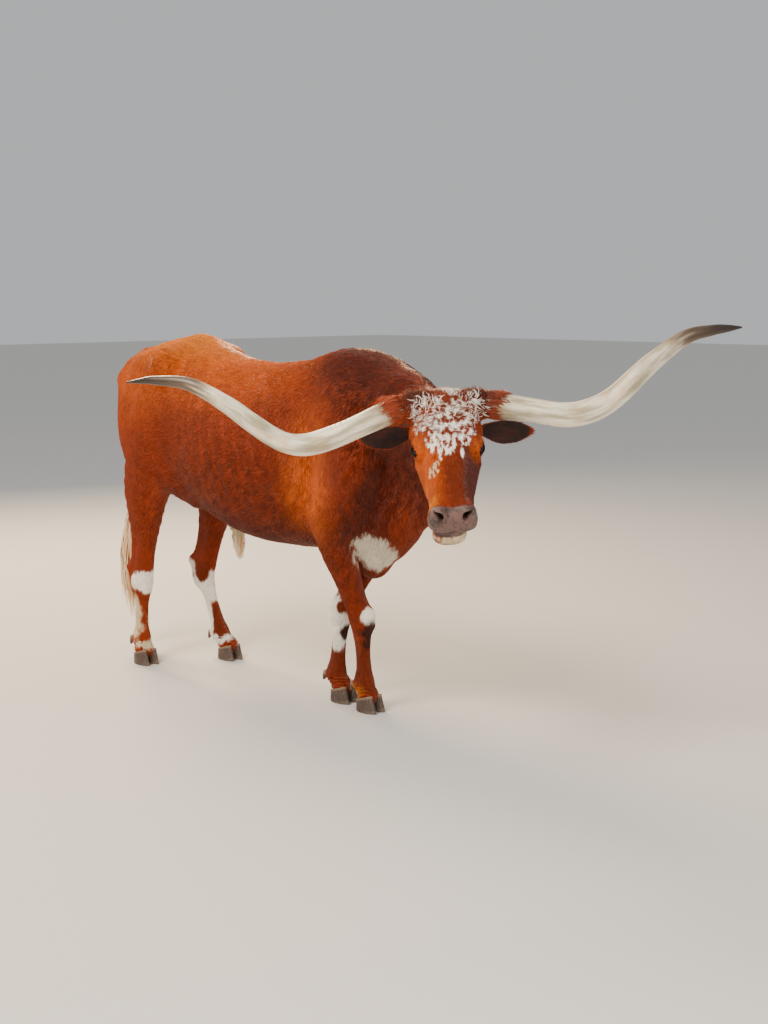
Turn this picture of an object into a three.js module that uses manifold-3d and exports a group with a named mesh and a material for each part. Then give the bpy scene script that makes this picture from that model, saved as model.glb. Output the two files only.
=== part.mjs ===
// A Texas longhorn steer, life size, standing still with its head turned to its right.
// Millimetres, +Z up, +X towards the chest, +Y to the animal's left. The hooves stand on Z = 0.
//
// The flesh is one smooth field: rounded forms (balls, tubes and a trunk with a profile) that melt together.
// Each flesh node is the skin of that field in its own zone, meshed on its own grid and parted by thin cuts.
import * as THREE from "three";
import { mergeVertices } from "three/addons/utils/BufferGeometryUtils.js";
import Module from "manifold-3d";

const wasm = await Module();
wasm.setup();

// Driving sizes
const GAP = 0.3; // between nodes that meet
const SHIFT = [-494.8, 224.8, 0]; // puts the middle of the whole animal's box over the origin
const SIDES = { left: 1, right: -1 };
const CLEAR = 3000; // larger than the animal, for cutters that have only one face in use
const DEG = Math.PI / 180;

// Head: the poll is the crown between the horns
const POLL = [1300, -264, 1305];
const HEAD_YAW = -45 * DEG; // towards the animal's right
const HEAD_ROLL = 2.6 * DEG; // left side higher
const HEAD_PITCH = 35 * DEG; // nose below the horizontal
const HEAD_SIZE = 1.04; // of the measures in the head's own frame

const CHEW = 11; // the lower jaw hangs this far to the right

const EYE_RADIUS = 20;
const EYE_AT = [203, 104, -50]; // in the head's own frame, left eye
const LID_THICK = 5;
const EYE_MESH = [14, 8]; // the same for the eye and its socket, so that the gap is even
const EAR_LENGTH = 205;
const EAR_WIDTH = 88;

// Finishes: each mesh takes a material of its own from one of these
const finish = (color, roughness) => () => new THREE.MeshStandardMaterial({ color, roughness, metalness: 0 });
const redHide = finish("#9a4318", 0.75);
const darkHide = finish("#7c3210", 0.75);
const faceHide = finish("#a8501f", 0.75);
const mottledLeg = finish("#8a5236", 0.75);
const earHide = finish("#8e3d14", 0.8);
const paleHair = finish("#e6d2b4", 0.85);
const hornKeratin = finish("#ddd3c0", 0.5);
const hoofKeratin = finish("#3a2e28", 0.55);
const eyeball = finish("#1c100a", 0.1);

const animal = new THREE.Group();
animal.position.set(...SHIFT);

// Small vector helpers on plain arrays
const add = (a, b) => a.map((v, i) => v + b[i]);
const sub = (a, b) => a.map((v, i) => v - b[i]);
const scaled = (a, s) => a.map((v) => v * s);
const dot = (a, b) => a[0] * b[0] + a[1] * b[1] + a[2] * b[2];
const unit = (a) => scaled(a, 1 / Math.hypot(...a));
const mixed = (a, b, t) => a.map((v, i) => v + (b[i] - v) * t);
const mirrored = (p, side) => [p[0], p[1] * side, p[2]];

// Smooth union: the lesser of two fields, rounded where they are within k of each other
function melt(a, b, k) {
  const h = Math.max(k - Math.abs(a - b), 0) / k;
  return Math.min(a, b) - (h * h * k) / 4;
}

// A Catmull-Rom curve through rows of numbers, with `steps` rows to each gap
function smoothRows(rows, steps) {
  const at = (i) => rows[Math.min(Math.max(i, 0), rows.length - 1)];
  const out = [];
  for (let i = 0; i < rows.length - 1; i++)
    for (let s = 0; s < steps; s++) {
      const t = s / steps;
      const [a, b, c, d] = [at(i - 1), at(i), at(i + 1), at(i + 2)];
      out.push(b.map((v, n) => v + 0.5 * t * (c[n] - a[n]
        + t * (2 * a[n] - 5 * v + 4 * c[n] - d[n] + t * (3 * (v - c[n]) + d[n] - a[n])))));
    }
  out.push(rows[rows.length - 1]);
  return out;
}

// Forms. Each has a distance that is below zero inside, a box for quick skips, and a melt width k
function withBox(form, points, reach) {
  form.low = [0, 1, 2].map((i) => Math.min(...points.map((p) => p[i])) - reach);
  form.high = [0, 1, 2].map((i) => Math.max(...points.map((p) => p[i])) + reach);
  return form;
}

// An ellipsoid, pitched by `pitch` about the Y axis (nose down is positive)
function ball(centre, radii, k, pitch = 0) {
  const [c, s] = [Math.cos(pitch), Math.sin(pitch)];
  const distance = (p) => {
    const q = sub(p, centre);
    const turned = [c * q[0] - s * q[2], q[1], s * q[0] + c * q[2]];
    const length = Math.hypot(...turned);
    const ratio = Math.hypot(turned[0] / radii[0], turned[1] / radii[1], turned[2] / radii[2]);
    return ratio < 1e-6 ? -Math.min(...radii) : length - length / ratio;
  };
  return withBox({ distance, k }, [centre], Math.max(...radii));
}

// A bent tube: rows of [x, y, z, half-width along `across`, half-width the other way]
function tube(rows, k, across = [0, 1, 0], steps = 3) {
  const fine = smoothRows(rows, steps);
  const pieces = fine.slice(1).map((b, i) => {
    const a = fine[i];
    const along = sub(b.slice(0, 3), a.slice(0, 3));
    const dir = unit(along);
    const side = unit(sub(across, scaled(dir, dot(across, dir))));
    return { a, b, along, side, size: dot(along, along) };
  });
  const distance = (p) => {
    let best = Infinity;
    for (const { a, b, along, side, size } of pieces) {
      const from = [p[0] - a[0], p[1] - a[1], p[2] - a[2]];
      const t = Math.min(1, Math.max(0, dot(from, along) / size));
      const q = [from[0] - along[0] * t, from[1] - along[1] * t, from[2] - along[2] * t];
      const sideways = dot(q, side);
      const length2 = dot(q, q);
      const other2 = Math.max(length2 - sideways * sideways, 0);
      const ra = a[3] + (b[3] - a[3]) * t;
      const rb = a[4] + (b[4] - a[4]) * t;
      const ratio = Math.sqrt((sideways * sideways) / (ra * ra) + other2 / (rb * rb));
      const length = Math.sqrt(length2);
      const d = ratio < 1e-6 ? -Math.min(ra, rb) : length - length / ratio;
      if (d < best) best = d;
    }
    return best;
  };
  return withBox({ distance, k }, rows, Math.max(...rows.map((r) => Math.max(r[3], r[4]))));
}

// The trunk: rows of [x, top, bottom, half-width], egg-shaped in section
const TRUNK = [
  [-845, 1290, 1070, 55],
  [-800, 1372, 985, 128],
  [-700, 1432, 900, 182],
  [-560, 1464, 845, 215],
  [-420, 1479, 800, 240],
  [-280, 1444, 758, 258],
  [-100, 1396, 688, 292],
  [100, 1382, 645, 304],
  [300, 1396, 640, 292],
  [470, 1422, 645, 258],
  [610, 1440, 652, 226],
  [740, 1422, 660, 194],
  [840, 1380, 690, 150],
  [915, 1310, 760, 90],
];
const WIDEST = 0.45; // of the height, from below
const ROUND_ABOVE = 2.05;
const ROUND_BELOW = 2.5;

function trunkSizes(x) {
  const last = TRUNK.length - 1;
  let i = 0;
  while (i < last - 1 && x > TRUNK[i + 1][0]) i++;
  const slope = (j, n) => {
    const [a, b] = [TRUNK[Math.max(j - 1, 0)], TRUNK[Math.min(j + 1, last)]];
    return (b[n] - a[n]) / (b[0] - a[0]);
  };
  const [a, b] = [TRUNK[i], TRUNK[i + 1]];
  const span = b[0] - a[0];
  const t = Math.min(1, Math.max(0, (x - a[0]) / span));
  const [t2, t3] = [t * t, t * t * t];
  return [1, 2, 3].map((n) => (2 * t3 - 3 * t2 + 1) * a[n] + (t3 - 2 * t2 + t) * span * slope(i, n)
    + (3 * t2 - 2 * t3) * b[n] + (t3 - t2) * span * slope(i + 1, n));
}

const trunk = withBox({
  k: 60,
  distance: (p) => {
    const [top, bottom, half] = trunkSizes(p[0]);
    const middle = bottom + WIDEST * (top - bottom);
    const [y, z] = [p[1], p[2] - middle];
    const [tall, n] = z > 0 ? [top - middle, ROUND_ABOVE] : [middle - bottom, ROUND_BELOW];
    const ratio = (Math.abs(y / half) ** n + Math.abs(z / tall) ** n) ** (1 / n);
    const length = Math.hypot(y, z);
    const inPlane = ratio < 1e-6 ? -half : length - length / ratio;
    const past = Math.max(TRUNK[0][0] - p[0], p[0] - TRUNK[TRUNK.length - 1][0], 0);
    return past > 0 ? Math.hypot(Math.max(inPlane, 0), past) + Math.min(inPlane, 0) : inPlane;
  },
}, [[-845, 0, 650], [915, 0, 1480]], 306);

// Trunk details, each for both sides
function quarters(side) {
  const at = (x, y, z) => [x, y * side, z];
  return [
    // Loin's shelf out to the hook bone
    tube([[...at(-395, 40, 1412), 52, 70], [...at(-412, 125, 1392), 48, 66],
      [...at(-418, 178, 1362), 42, 56]], 60, [0, 0, 1]),
    // From the hook bone back to the pin bone
    tube([[...at(-418, 178, 1360), 46, 46], [...at(-620, 142, 1346), 50, 50],
      [...at(-805, 98, 1278), 52, 58]], 90),
    // Thigh
    ball(at(-585, 142, 1075), [215, 96, 300], 90, -0.12),
    // Shoulder blade and upper arm
    tube([[600, 96 * side, 1340, 46, 92], [668, 160 * side, 1200, 68, 130],
      [748, 182 * side, 1030, 72, 104]], 80),
    tube([[752, 182 * side, 1030, 72, 100], [690, 182 * side, 900, 74, 108],
      [632, 172 * side, 790, 66, 92]], 70),
  ];
}
const brisket = ball([670, 0, 686], [112, 80, 142], 80);
const flankFold = (side) => tube([[-430, 196 * side, 880, 26, 60], [-330, 200 * side, 838, 22, 44],
  [-215, 196 * side, 800, 20, 34]], 70);
const sheath = tube([[-260, 0, 735, 36, 34], [-190, 0, 680, 34, 34], [-160, 0, 640, 26, 26]], 45);

// Neck and dewlap
const neckTube = tube([
  [560, 0, 1128, 168, 298],
  [740, -8, 1148, 150, 262],
  [880, -42, 1172, 128, 222],
  [1010, -88, 1176, 110, 166],
  [1130, -150, 1192, 94, 128],
  [1222, -196, 1214, 86, 112],
], 80);
const dewlap = tube([
  [1165, -160, 1120, 46, 62],
  [1060, -95, 995, 42, 92],
  [964, -52, 885, 42, 100],
  [876, -32, 822, 46, 98],
  [785, -10, 745, 56, 92],
], 70);

// Legs. Each joint is a place; the limb's thickness is the same for both sides
const FORE_LEGS = {
  right: { top: [622, -172, 800], elbow: [612, -150, 700], knee: [656, -50, 388], fetlock: [636, -14, 118],
    foot: [657, -4, 0] },
  left: { top: [590, 172, 800], elbow: [562, 150, 700], knee: [442, 44, 380], fetlock: [430, 26, 118],
    foot: [474, 24, 0] },
};
const HIND_LEGS = {
  right: { top: [-560, -165, 930], stifle: [-596, -172, 800], hock: [-655, -165, 376],
    fetlock: [-668, -164, 120], foot: [-640, -165, 0] },
  left: { top: [-520, 165, 930], stifle: [-512, 172, 800], hock: [-628, 166, 372],
    fetlock: [-508, 162, 120], foot: [-440, 162, 0] },
};
const PASTERN_Z = 62; // height of the pastern's lower end, inside the hooves

function pasternEnd(leg) {
  return [leg.foot[0] - 10, leg.foot[1], PASTERN_Z];
}

function foreLimb(leg) {
  const above = (t) => mixed(leg.knee, leg.elbow, t);
  const below = (t) => mixed(leg.knee, leg.fetlock, t);
  const foot = pasternEnd(leg);
  return [
    tube([
      [...leg.top, 70, 100], [...leg.elbow, 60, 84], [...above(0.6), 51, 65], [...above(0.25), 45, 53],
      [...leg.knee, 50, 54], [...below(0.25), 36, 42], [...below(0.5), 29, 34], [...below(0.78), 31, 36],
      [...leg.fetlock, 41, 45], [...mixed(leg.fetlock, foot, 0.5), 37, 39], [...foot, 43, 43],
    ], 18),
    ball(add(leg.knee, [16, 0, -8]), [38, 44, 54], 24), // front of the knee
    ball(add(leg.fetlock, [-32, 0, -8]), [20, 30, 24], 18), // back of the fetlock
  ];
}

function hindLimb(leg) {
  const above = (t) => mixed(leg.hock, leg.stifle, t);
  const below = (t) => mixed(leg.hock, leg.fetlock, t);
  const foot = pasternEnd(leg);
  return [
    tube([
      [...leg.top, 92, 165], [...leg.stifle, 80, 126], [...above(0.62), 56, 84], [...above(0.3), 43, 64],
      [...leg.hock, 45, 62], [...below(0.2), 36, 46], [...below(0.42), 28, 36], [...below(0.78), 30, 36],
      [...leg.fetlock, 41, 45], [...mixed(leg.fetlock, foot, 0.5), 37, 39], [...foot, 43, 43],
    ], 18),
    // Point of the hock, and the tendon down to it
    tube([[...add(leg.hock, [-76, 0, 56]), 20, 22], [...add(leg.hock, [-50, 0, -6]), 22, 26]], 26),
    tube([[...above(0.62), 26, 26], [...add(leg.hock, [-76, 0, 62]), 12, 15]], 34),
    ball(add(leg.fetlock, [-32, 0, -8]), [20, 30, 24], 18),
  ];
}

// Head, in its own frame: +X from the poll to the nose, +Y left, +Z out of the forehead
const pollFrame = new THREE.Matrix4()
  .makeTranslation(...POLL)
  .multiply(new THREE.Matrix4().makeRotationZ(HEAD_YAW))
  .multiply(new THREE.Matrix4().makeRotationX(HEAD_ROLL));
const headFrame = pollFrame.clone()
  .multiply(new THREE.Matrix4().makeRotationY(HEAD_PITCH))
  .multiply(new THREE.Matrix4().makeScale(HEAD_SIZE, HEAD_SIZE, HEAD_SIZE));

function headForms() {
  const forms = [
    tube([[-20, 0, -84, 78, 74], [50, 0, -78, 100, 82], [130, 0, -74, 106, 80], [205, 0, -74, 102, 76],
      [285, 0, -80, 89, 66], [355, 0, -88, 79, 60], [415, 0, -94, 73, 56], [462, 0, -98, 68, 52]], 40),
    tube([[20, 0, -168, 56, 74], [110, 0, -172, 62, 80], [210, 0, -164, 56, 68], [310, 0, -152, 48, 50],
      [400, -CHEW / 2, -150, 42, 42], [468, -CHEW, -158, 44, 36]], 40), // lower jaw
    tube([[2, -100, -30, 46, 50], [0, 0, -24, 48, 46], [2, 100, -30, 46, 50]], 40, [1, 0, 0]), // poll
    ball([120, 0, -18], [130, 80, 26], 40), // forehead
  ];
  for (const s of [1, -1]) {
    forms.push(
      ball([108, 60 * s, -148], [88, 36, 78], 36), // cheek
      ball([203, 94 * s, -46], [48, 27, 35], 24), // brow and eye socket
      // Cheek bone
      tube([[222, 90 * s, -98, 15, 15], [305, 71 * s, -110, 13, 13], [365, 62 * s, -116, 10, 10]], 26),
      tube([[4, 100 * s, -32, 46, 48], [-6, 196 * s, -40, 44, 44]], 30, [1, 0, 0]), // horn boss
      ball([478, 30 * s, -92], [42, 46, 50], 22), // muzzle
      ball([486, 36 * s, -112], [34, 42, 30], 16), // upper lip
      ball([484, 16 * s - CHEW, -168], [36, 40, 34], 16), // lower lip and chin
      ball([498, 46 * s, -62], [23, 27, 23], 14), // nostril wing
      ball([66, 98 * s, -96], [36, 26, 32], 24), // ear root
    );
  }
  return forms;
}

const toHead = headFrame.clone().invert();
const headLocal = headForms();
const headAsOne = withBox({
  k: 60,
  distance: (p) => {
    const e = toHead.elements;
    const q = [0, 1, 2].map((i) => e[i] * p[0] + e[4 + i] * p[1] + e[8 + i] * p[2] + e[12 + i]);
    return meltAll(headLocal, q) * HEAD_SIZE;
  },
}, [POLL], 680);

// The field of several forms
function meltAll(forms, p) {
  let d = 1000;
  for (const form of forms) {
    let away = 0;
    for (let i = 0; i < 3; i++) away = Math.max(away, form.low[i] - p[i], p[i] - form.high[i]);
    if (away > form.k + 40 && away > d) continue;
    d = melt(d, form.distance(p), form.k);
  }
  return d;
}

const LEG_NAMES = ["foreleg_right", "foreleg_left", "hindleg_right", "hindleg_left"];
const limbs = {
  foreleg_right: foreLimb(FORE_LEGS.right),
  foreleg_left: foreLimb(FORE_LEGS.left),
  hindleg_right: hindLimb(HIND_LEGS.right),
  hindleg_left: hindLimb(HIND_LEGS.left),
};
const body = [trunk, ...quarters(1), ...quarters(-1), brisket, flankFold(1), flankFold(-1), sheath,
  neckTube, dewlap];

// Meshing: a surface net on a grid, drawn onto the field
// Where two corners of a grid square that lie across from each other are inside and the other two outside,
// four faces would share an edge, so the inner corner nearest the surface is put just outside
function partDiagonals(value, steps) {
  const inside = (i) => value[i] < 0;
  for (const [u, w] of [[0, 1], [1, 2], [2, 0]])
    for (let i = 0; i < value.length - steps[u] - steps[w]; i++) {
      const square = [i, i + steps[u], i + steps[u] + steps[w], i + steps[w]];
      const [a, b, c, d] = square.map(inside);
      if (a !== c || b !== d || a === b) continue;
      const [m, n] = square.filter(inside);
      value[value[m] > value[n] ? m : n] = 0.1;
    }
}

// One vertex in each cell that the surface crosses, and a quad round each grid edge that it crosses.
function surfaceNet(field, low, high, cell) {
  const count = [0, 1, 2].map((i) => Math.ceil((high[i] - low[i]) / cell[i]) + 1);
  const index = (i, j, k) => (k * count[1] + j) * count[0] + i;
  const value = new Float64Array(count[0] * count[1] * count[2]);
  for (let k = 0; k < count[2]; k++)
    for (let j = 0; j < count[1]; j++)
      for (let i = 0; i < count[0]; i++) {
        const rim = [i, j, k].some((v, n) => v === 0 || v === count[n] - 1);
        const p = [low[0] + i * cell[0], low[1] + j * cell[1], low[2] + k * cell[2]];
        value[index(i, j, k)] = rim ? 1 : field(p);
      }
  const steps = [1, count[0], count[0] * count[1]];
  for (let round = 0; round < 3; round++) partDiagonals(value, steps);
  const corners = [0, 1, 2, 3, 4, 5, 6, 7].map((c) => [c & 1, (c >> 1) & 1, (c >> 2) & 1]);
  const edges = corners.flatMap((a, m) => corners.map((b, n) => [m, n])
    .filter(([, n]) => n > m && [1, 2, 4].includes(n ^ m)));
  const vertexOf = new Map();
  const points = [];
  for (let k = 0; k < count[2] - 1; k++)
    for (let j = 0; j < count[1] - 1; j++)
      for (let i = 0; i < count[0] - 1; i++) {
        const v = corners.map(([a, b, c]) => value[index(i + a, j + b, k + c)]);
        const sum = [0, 0, 0];
        let crossings = 0;
        for (const [m, n] of edges) {
          if (v[m] < 0 === v[n] < 0) continue;
          const t = v[m] / (v[m] - v[n]);
          for (let a = 0; a < 3; a++) sum[a] += corners[m][a] + (corners[n][a] - corners[m][a]) * t;
          crossings++;
        }
        if (!crossings) continue;
        vertexOf.set(index(i, j, k), points.length);
        points.push([i, j, k].map((g, a) => low[a] + (g + sum[a] / crossings) * cell[a]));
      }
  const faces = [];
  const turns = [[1, 2], [2, 0], [0, 1]];
  for (let k = 0; k < count[2] - 1; k++)
    for (let j = 0; j < count[1] - 1; j++)
      for (let i = 0; i < count[0] - 1; i++)
        turns.forEach(([u, w], axis) => {
          const next = [i, j, k];
          next[axis] += 1;
          const [here, there] = [value[index(i, j, k)] < 0, value[index(...next)] < 0];
          if (here === there) return;
          const around = [[-1, -1], [0, -1], [0, 0], [-1, 0]].map(([a, b]) => {
            const g = [i, j, k];
            g[u] += a;
            g[w] += b;
            return vertexOf.get(index(...g));
          });
          if (!here) around.reverse();
          const [a, b, c, d] = around;
          const far = (m, n) => Math.hypot(...sub(points[m], points[n]));
          if (far(a, c) < far(b, d)) faces.push(a, b, c, a, c, d);
          else faces.push(a, b, d, b, c, d);
        });
  const reach = Math.min(...cell) * 0.8;
  const drawn = points.map((p) => drawnOnto(field, p, reach));
  return solidOf(drawn.flat(), faces);
}

// Moves a point along the field's slope until it lies on the surface, by at most `reach`
function drawnOnto(field, start, reach) {
  let p = start;
  for (let step = 0; step < 3; step++) {
    const d = field(p);
    if (Math.abs(d) > reach * 1.3) return start;
    const h = 1;
    const slope = [0, 1, 2].map((a) => (field(p.map((v, n) => v + (n === a ? h : 0))) - d) / h);
    const steep = Math.max(dot(slope, slope), 0.2);
    p = sub(p, scaled(slope, d / steep));
  }
  const moved = Math.hypot(...sub(p, start));
  return moved > reach ? mixed(start, p, reach / moved) : p;
}

// Solids
function solidOf(positions, triangles) {
  return new wasm.Manifold(new wasm.Mesh({
    numProp: 3,
    vertProperties: new Float32Array(positions),
    triVerts: new Uint32Array(triangles),
  }));
}

// A closed three.js geometry as a solid, its vertices merged and its collapsed triangles dropped
function solidOfGeometry(geometry, matrix) {
  const g = geometry.clone();
  g.deleteAttribute("normal");
  g.deleteAttribute("uv");
  if (matrix) g.applyMatrix4(matrix);
  const merged = mergeVertices(g, 1e-3);
  const triangles = [];
  const index = merged.index.array;
  for (let i = 0; i < index.length; i += 3) {
    const [a, b, c] = [index[i], index[i + 1], index[i + 2]];
    if (a !== b && b !== c && a !== c) triangles.push(a, b, c);
  }
  return solidOf(merged.attributes.position.array, triangles);
}

// The largest closed body of a solid
function largest(solid) {
  return solid.decompose().reduce((a, b) => (a.volume() > b.volume() ? a : b));
}

function geometryOf(solid) {
  const mesh = solid.getMesh();
  const n = mesh.numProp;
  const positions = new Float32Array(mesh.numVert * 3);
  for (let i = 0; i < mesh.numVert; i++) positions.set(mesh.vertProperties.subarray(i * n, i * n + 3), i * 3);
  const g = new THREE.BufferGeometry();
  g.setAttribute("position", new THREE.BufferAttribute(positions, 3));
  g.setIndex(new THREE.BufferAttribute(mesh.triVerts, 1));
  g.computeVertexNormals();
  return g;
}

function addNode(name, solid, finishOf) {
  const mesh = new THREE.Mesh(geometryOf(largest(solid)), finishOf());
  mesh.name = name;
  animal.add(mesh);
}

// A box from corner to corner
function boxSolid(low, high) {
  const size = sub(high, low);
  const middle = scaled(add(low, high), 0.5);
  return solidOfGeometry(new THREE.BoxGeometry(...size), new THREE.Matrix4().makeTranslation(...middle));
}

// The half of space in front of a plane through `point`, facing `normal`, set back by `offset`
function halfSpace(point, normal, offset = 0) {
  const n = unit(normal);
  const turn = new THREE.Quaternion().setFromUnitVectors(new THREE.Vector3(0, 0, 1), new THREE.Vector3(...n));
  const centre = add(point, scaled(n, CLEAR / 2 + offset));
  const place = new THREE.Matrix4().compose(new THREE.Vector3(...centre), turn, new THREE.Vector3(1, 1, 1));
  return solidOfGeometry(new THREE.BoxGeometry(CLEAR, CLEAR, CLEAR), place);
}

// Where the flesh is parted
const NECK_CUT = { point: [810, 0, 1150], normal: [0.95, -0.05, 0.3] };
const POLL_CUT = { point: [-22, 0, -60], normal: [0.95, 0, 0.3] }; // behind the poll, in the head's own frame
const THROAT_CUT = { point: [200, 0, -262], normal: [0, 0, 1] }; // under the jaws, in the head's own frame
const FRONT_CUT_X = 440;
const REAR_CUT_X = -300;
const FORE_TOP_Z = 645; // where a foreleg leaves the chest
const HIND_TOP_Z = 792; // where a hind leg leaves the thigh
const FORE_INNER_Y = 88; // the brisket hangs inside this
const HIND_INNER_Y = 4; // half the space between the thighs
const BRISKET_LOW_Z = 560; // a foreleg is cut free of the brisket down to here
const FORE_ZONE_X = 300; // the forelegs lie in front of this
const HIND_ZONE_X = -330; // the hind legs lie behind this

// Grid cells: coarser along the forms than round them
const TORSO_CELL = [88, 50, 54];
const NECK_CELL = [52, 38, 46];
const FORE_UPPER_CELL = [30, 27, 50];
const HIND_UPPER_CELL = [38, 34, 54];
const LOWER_LEG_CELL = [24, 22, 46];
const HEAD_CELL = [25, 19, 19];

// Torso, in three lengths
const TORSO_BOX = [[-940, -360, 500], [1000, 360, 1560]];
const LEG_REACH = 75; // the legs melt into the torso from this far below where they leave it
const torsoFlesh = [...body, ...LEG_NAMES.map((n) => limbs[n][0])];

function torsoField(p) {
  const legTop = p[0] < 0 ? HIND_TOP_Z : FORE_TOP_Z;
  return meltAll(p[2] > legTop - LEG_REACH ? torsoFlesh : body, p);
}

function torso() {
  const whole = surfaceNet(torsoField, ...TORSO_BOX, TORSO_CELL);
  const foreZone = [FORE_ZONE_X, FORE_INNER_Y - GAP / 2, -CLEAR];
  const legCuts = [
    boxSolid([-CLEAR, -CLEAR, -CLEAR], [HIND_ZONE_X, CLEAR, HIND_TOP_Z + GAP / 2]),
    boxSolid(foreZone, [CLEAR, CLEAR, FORE_TOP_Z + GAP / 2]),
    boxSolid([FORE_ZONE_X, -CLEAR, -CLEAR], [CLEAR, -foreZone[1], FORE_TOP_Z + GAP / 2]),
  ];
  const neckSide = halfSpace(NECK_CUT.point, NECK_CUT.normal, -GAP / 2);
  const pockets = [tailSolid(GAP), hairCore(SHEATH_TUFT, GAP)];
  const trimmed = [...legCuts, neckSide, ...pockets].reduce((s, cutter) => s.subtract(cutter), whole);
  const slab = (from, to) => boxSolid([from + GAP / 2, -CLEAR, -CLEAR], [to - GAP / 2, CLEAR, CLEAR]);
  addNode("torso_chest", trimmed.intersect(slab(FRONT_CUT_X, CLEAR)), redHide);
  addNode("torso_barrel", trimmed.intersect(slab(REAR_CUT_X, FRONT_CUT_X)), redHide);
  addNode("torso_hindquarters", trimmed.intersect(slab(-CLEAR, REAR_CUT_X)), redHide);
}

// Neck
// The head's zone lies in front of the poll's back and the jaw's angle, and above the throat
function headZone(grow) {
  const place = (p) => new THREE.Vector3(...p).applyMatrix4(headFrame).toArray();
  const turn = (n) => new THREE.Vector3(...n).transformDirection(headFrame).toArray();
  const [ahead, above] = [POLL_CUT, THROAT_CUT].map((c) => halfSpace(place(c.point), turn(c.normal), -grow));
  return ahead.intersect(above);
}

const NECK_BOX = [[690, -470, 560], [1420, 260, 1500]];
const frontForms = [...body, headAsOne];

function neck() {
  const flesh = surfaceNet((p) => meltAll(frontForms, p), ...NECK_BOX, NECK_CELL);
  const own = flesh.intersect(halfSpace(NECK_CUT.point, NECK_CUT.normal, GAP / 2));
  addNode("neck", own.subtract(headZone(GAP / 2)), darkHide);
}

// Legs, each parted at the knee or the hock
const LEG_ROOM = [190, 120]; // round the joints' places in X and Y, for the grids
const LEG_OVERRUN = 90; // the grids of a leg run on past its cuts

function legs() {
  for (const name of LEG_NAMES) {
    const fore = name.startsWith("fore");
    const sideName = name.split("_")[1];
    const side = SIDES[sideName];
    const leg = (fore ? FORE_LEGS : HIND_LEGS)[sideName];
    const joint = fore ? leg.knee : leg.hock;
    const topZ = (fore ? FORE_TOP_Z : HIND_TOP_Z) - GAP / 2;
    const field = (p) => meltAll(limbs[name], p);
    const ends = [0, 1].map((i) => [leg.top, joint, leg.foot].map((p) => p[i]));
    const low = ends.map((values, i) => Math.min(...values) - LEG_ROOM[i]);
    const high = ends.map((values, i) => Math.max(...values) + LEG_ROOM[i]);
    const meshed = (from, to, cell) => surfaceNet(field, [...low, from], [...high, to], cell);
    const upperCell = fore ? FORE_UPPER_CELL : HIND_UPPER_CELL;
    const upper = meshed(joint[2] - LEG_OVERRUN, topZ + LEG_OVERRUN, upperCell);
    const lower = meshed(0, joint[2] + LEG_OVERRUN, LOWER_LEG_CELL);
    const inner = fore ? FORE_INNER_Y + GAP / 2 : HIND_INNER_Y;
    const [fromY, toY] = side > 0 ? [inner, CLEAR] : [-CLEAR, -inner];
    const beside = boxSolid([-CLEAR, fromY, joint[2]], [CLEAR, toY, topZ]);
    const under = boxSolid([-CLEAR, -CLEAR, joint[2]], [CLEAR, CLEAR, fore ? BRISKET_LOW_Z : topZ]);
    const aboveJoint = halfSpace(joint, [0, 0, 1], GAP / 2);
    addNode(name + "_upper", upper.intersect(beside.add(under)).intersect(aboveJoint), redHide);
    const overHooves = halfSpace([leg.foot[0], 0, CORONET_Z], CORONET_NORMAL, GAP);
    const shank = lower.intersect(halfSpace(joint, [0, 0, -1], GAP / 2)).intersect(overHooves);
    const pocketed = shank.subtract(dewclaw(leg, 1, GAP)).subtract(dewclaw(leg, -1, GAP));
    addNode(name + "_lower", pocketed, mottledLeg);
    hooves(name, leg, side);
  }
}

// Hooves: two claws and two dewclaws on each foot
const CORONET_Z = 62; // top of the hooves, above the middle of the foot
const CORONET_NORMAL = [-0.3, 0, 1]; // highest over the toes
const CLAW_LENGTH = 106;
const CLAW_WIDTH = 46;
const CLAW_HEIGHT = 100; // before the coronet cuts it
const CLAW_CLEFT = 4;
const CLAW_SIDES = 12;
const DEWCLAW = { root: 15, tip: 6, length: 40, back: 52, out: 19, down: 26, tilt: 0.5, sides: 8 };

// A small blunt cone behind the fetlock, with its point down and back
function dewclaw(leg, towards, grow = 0) {
  const { root, tip, length, back, out, down, tilt, sides } = DEWCLAW;
  const g = new THREE.CylinderGeometry(root + grow, tip + grow, length + 2 * grow, sides, 1);
  const place = new THREE.Matrix4()
    .makeTranslation(leg.fetlock[0] - back, leg.fetlock[1] + out * towards, leg.fetlock[2] - down)
    .multiply(new THREE.Matrix4().makeRotationY(tilt))
    .multiply(new THREE.Matrix4().makeRotationX(Math.PI / 2));
  return solidOfGeometry(g, place);
}

function hooves(name, leg, side) {
  const aboveCoronet = halfSpace([leg.foot[0], 0, CORONET_Z], CORONET_NORMAL);
  for (const [label, s] of Object.entries({ inner: -1, outer: 1 })) {
    const towards = s * side;
    addNode(name + "_dewclaw_" + label, dewclaw(leg, towards), hoofKeratin);
    const middle = [leg.foot[0], leg.foot[1] + (towards * (CLAW_WIDTH + CLAW_CLEFT)) / 2, 0];
    const claw = clawSolid(towards).translate(middle).subtract(aboveCoronet);
    addNode(name + "_claw_" + label, claw, hoofKeratin);
  }
}

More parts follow.
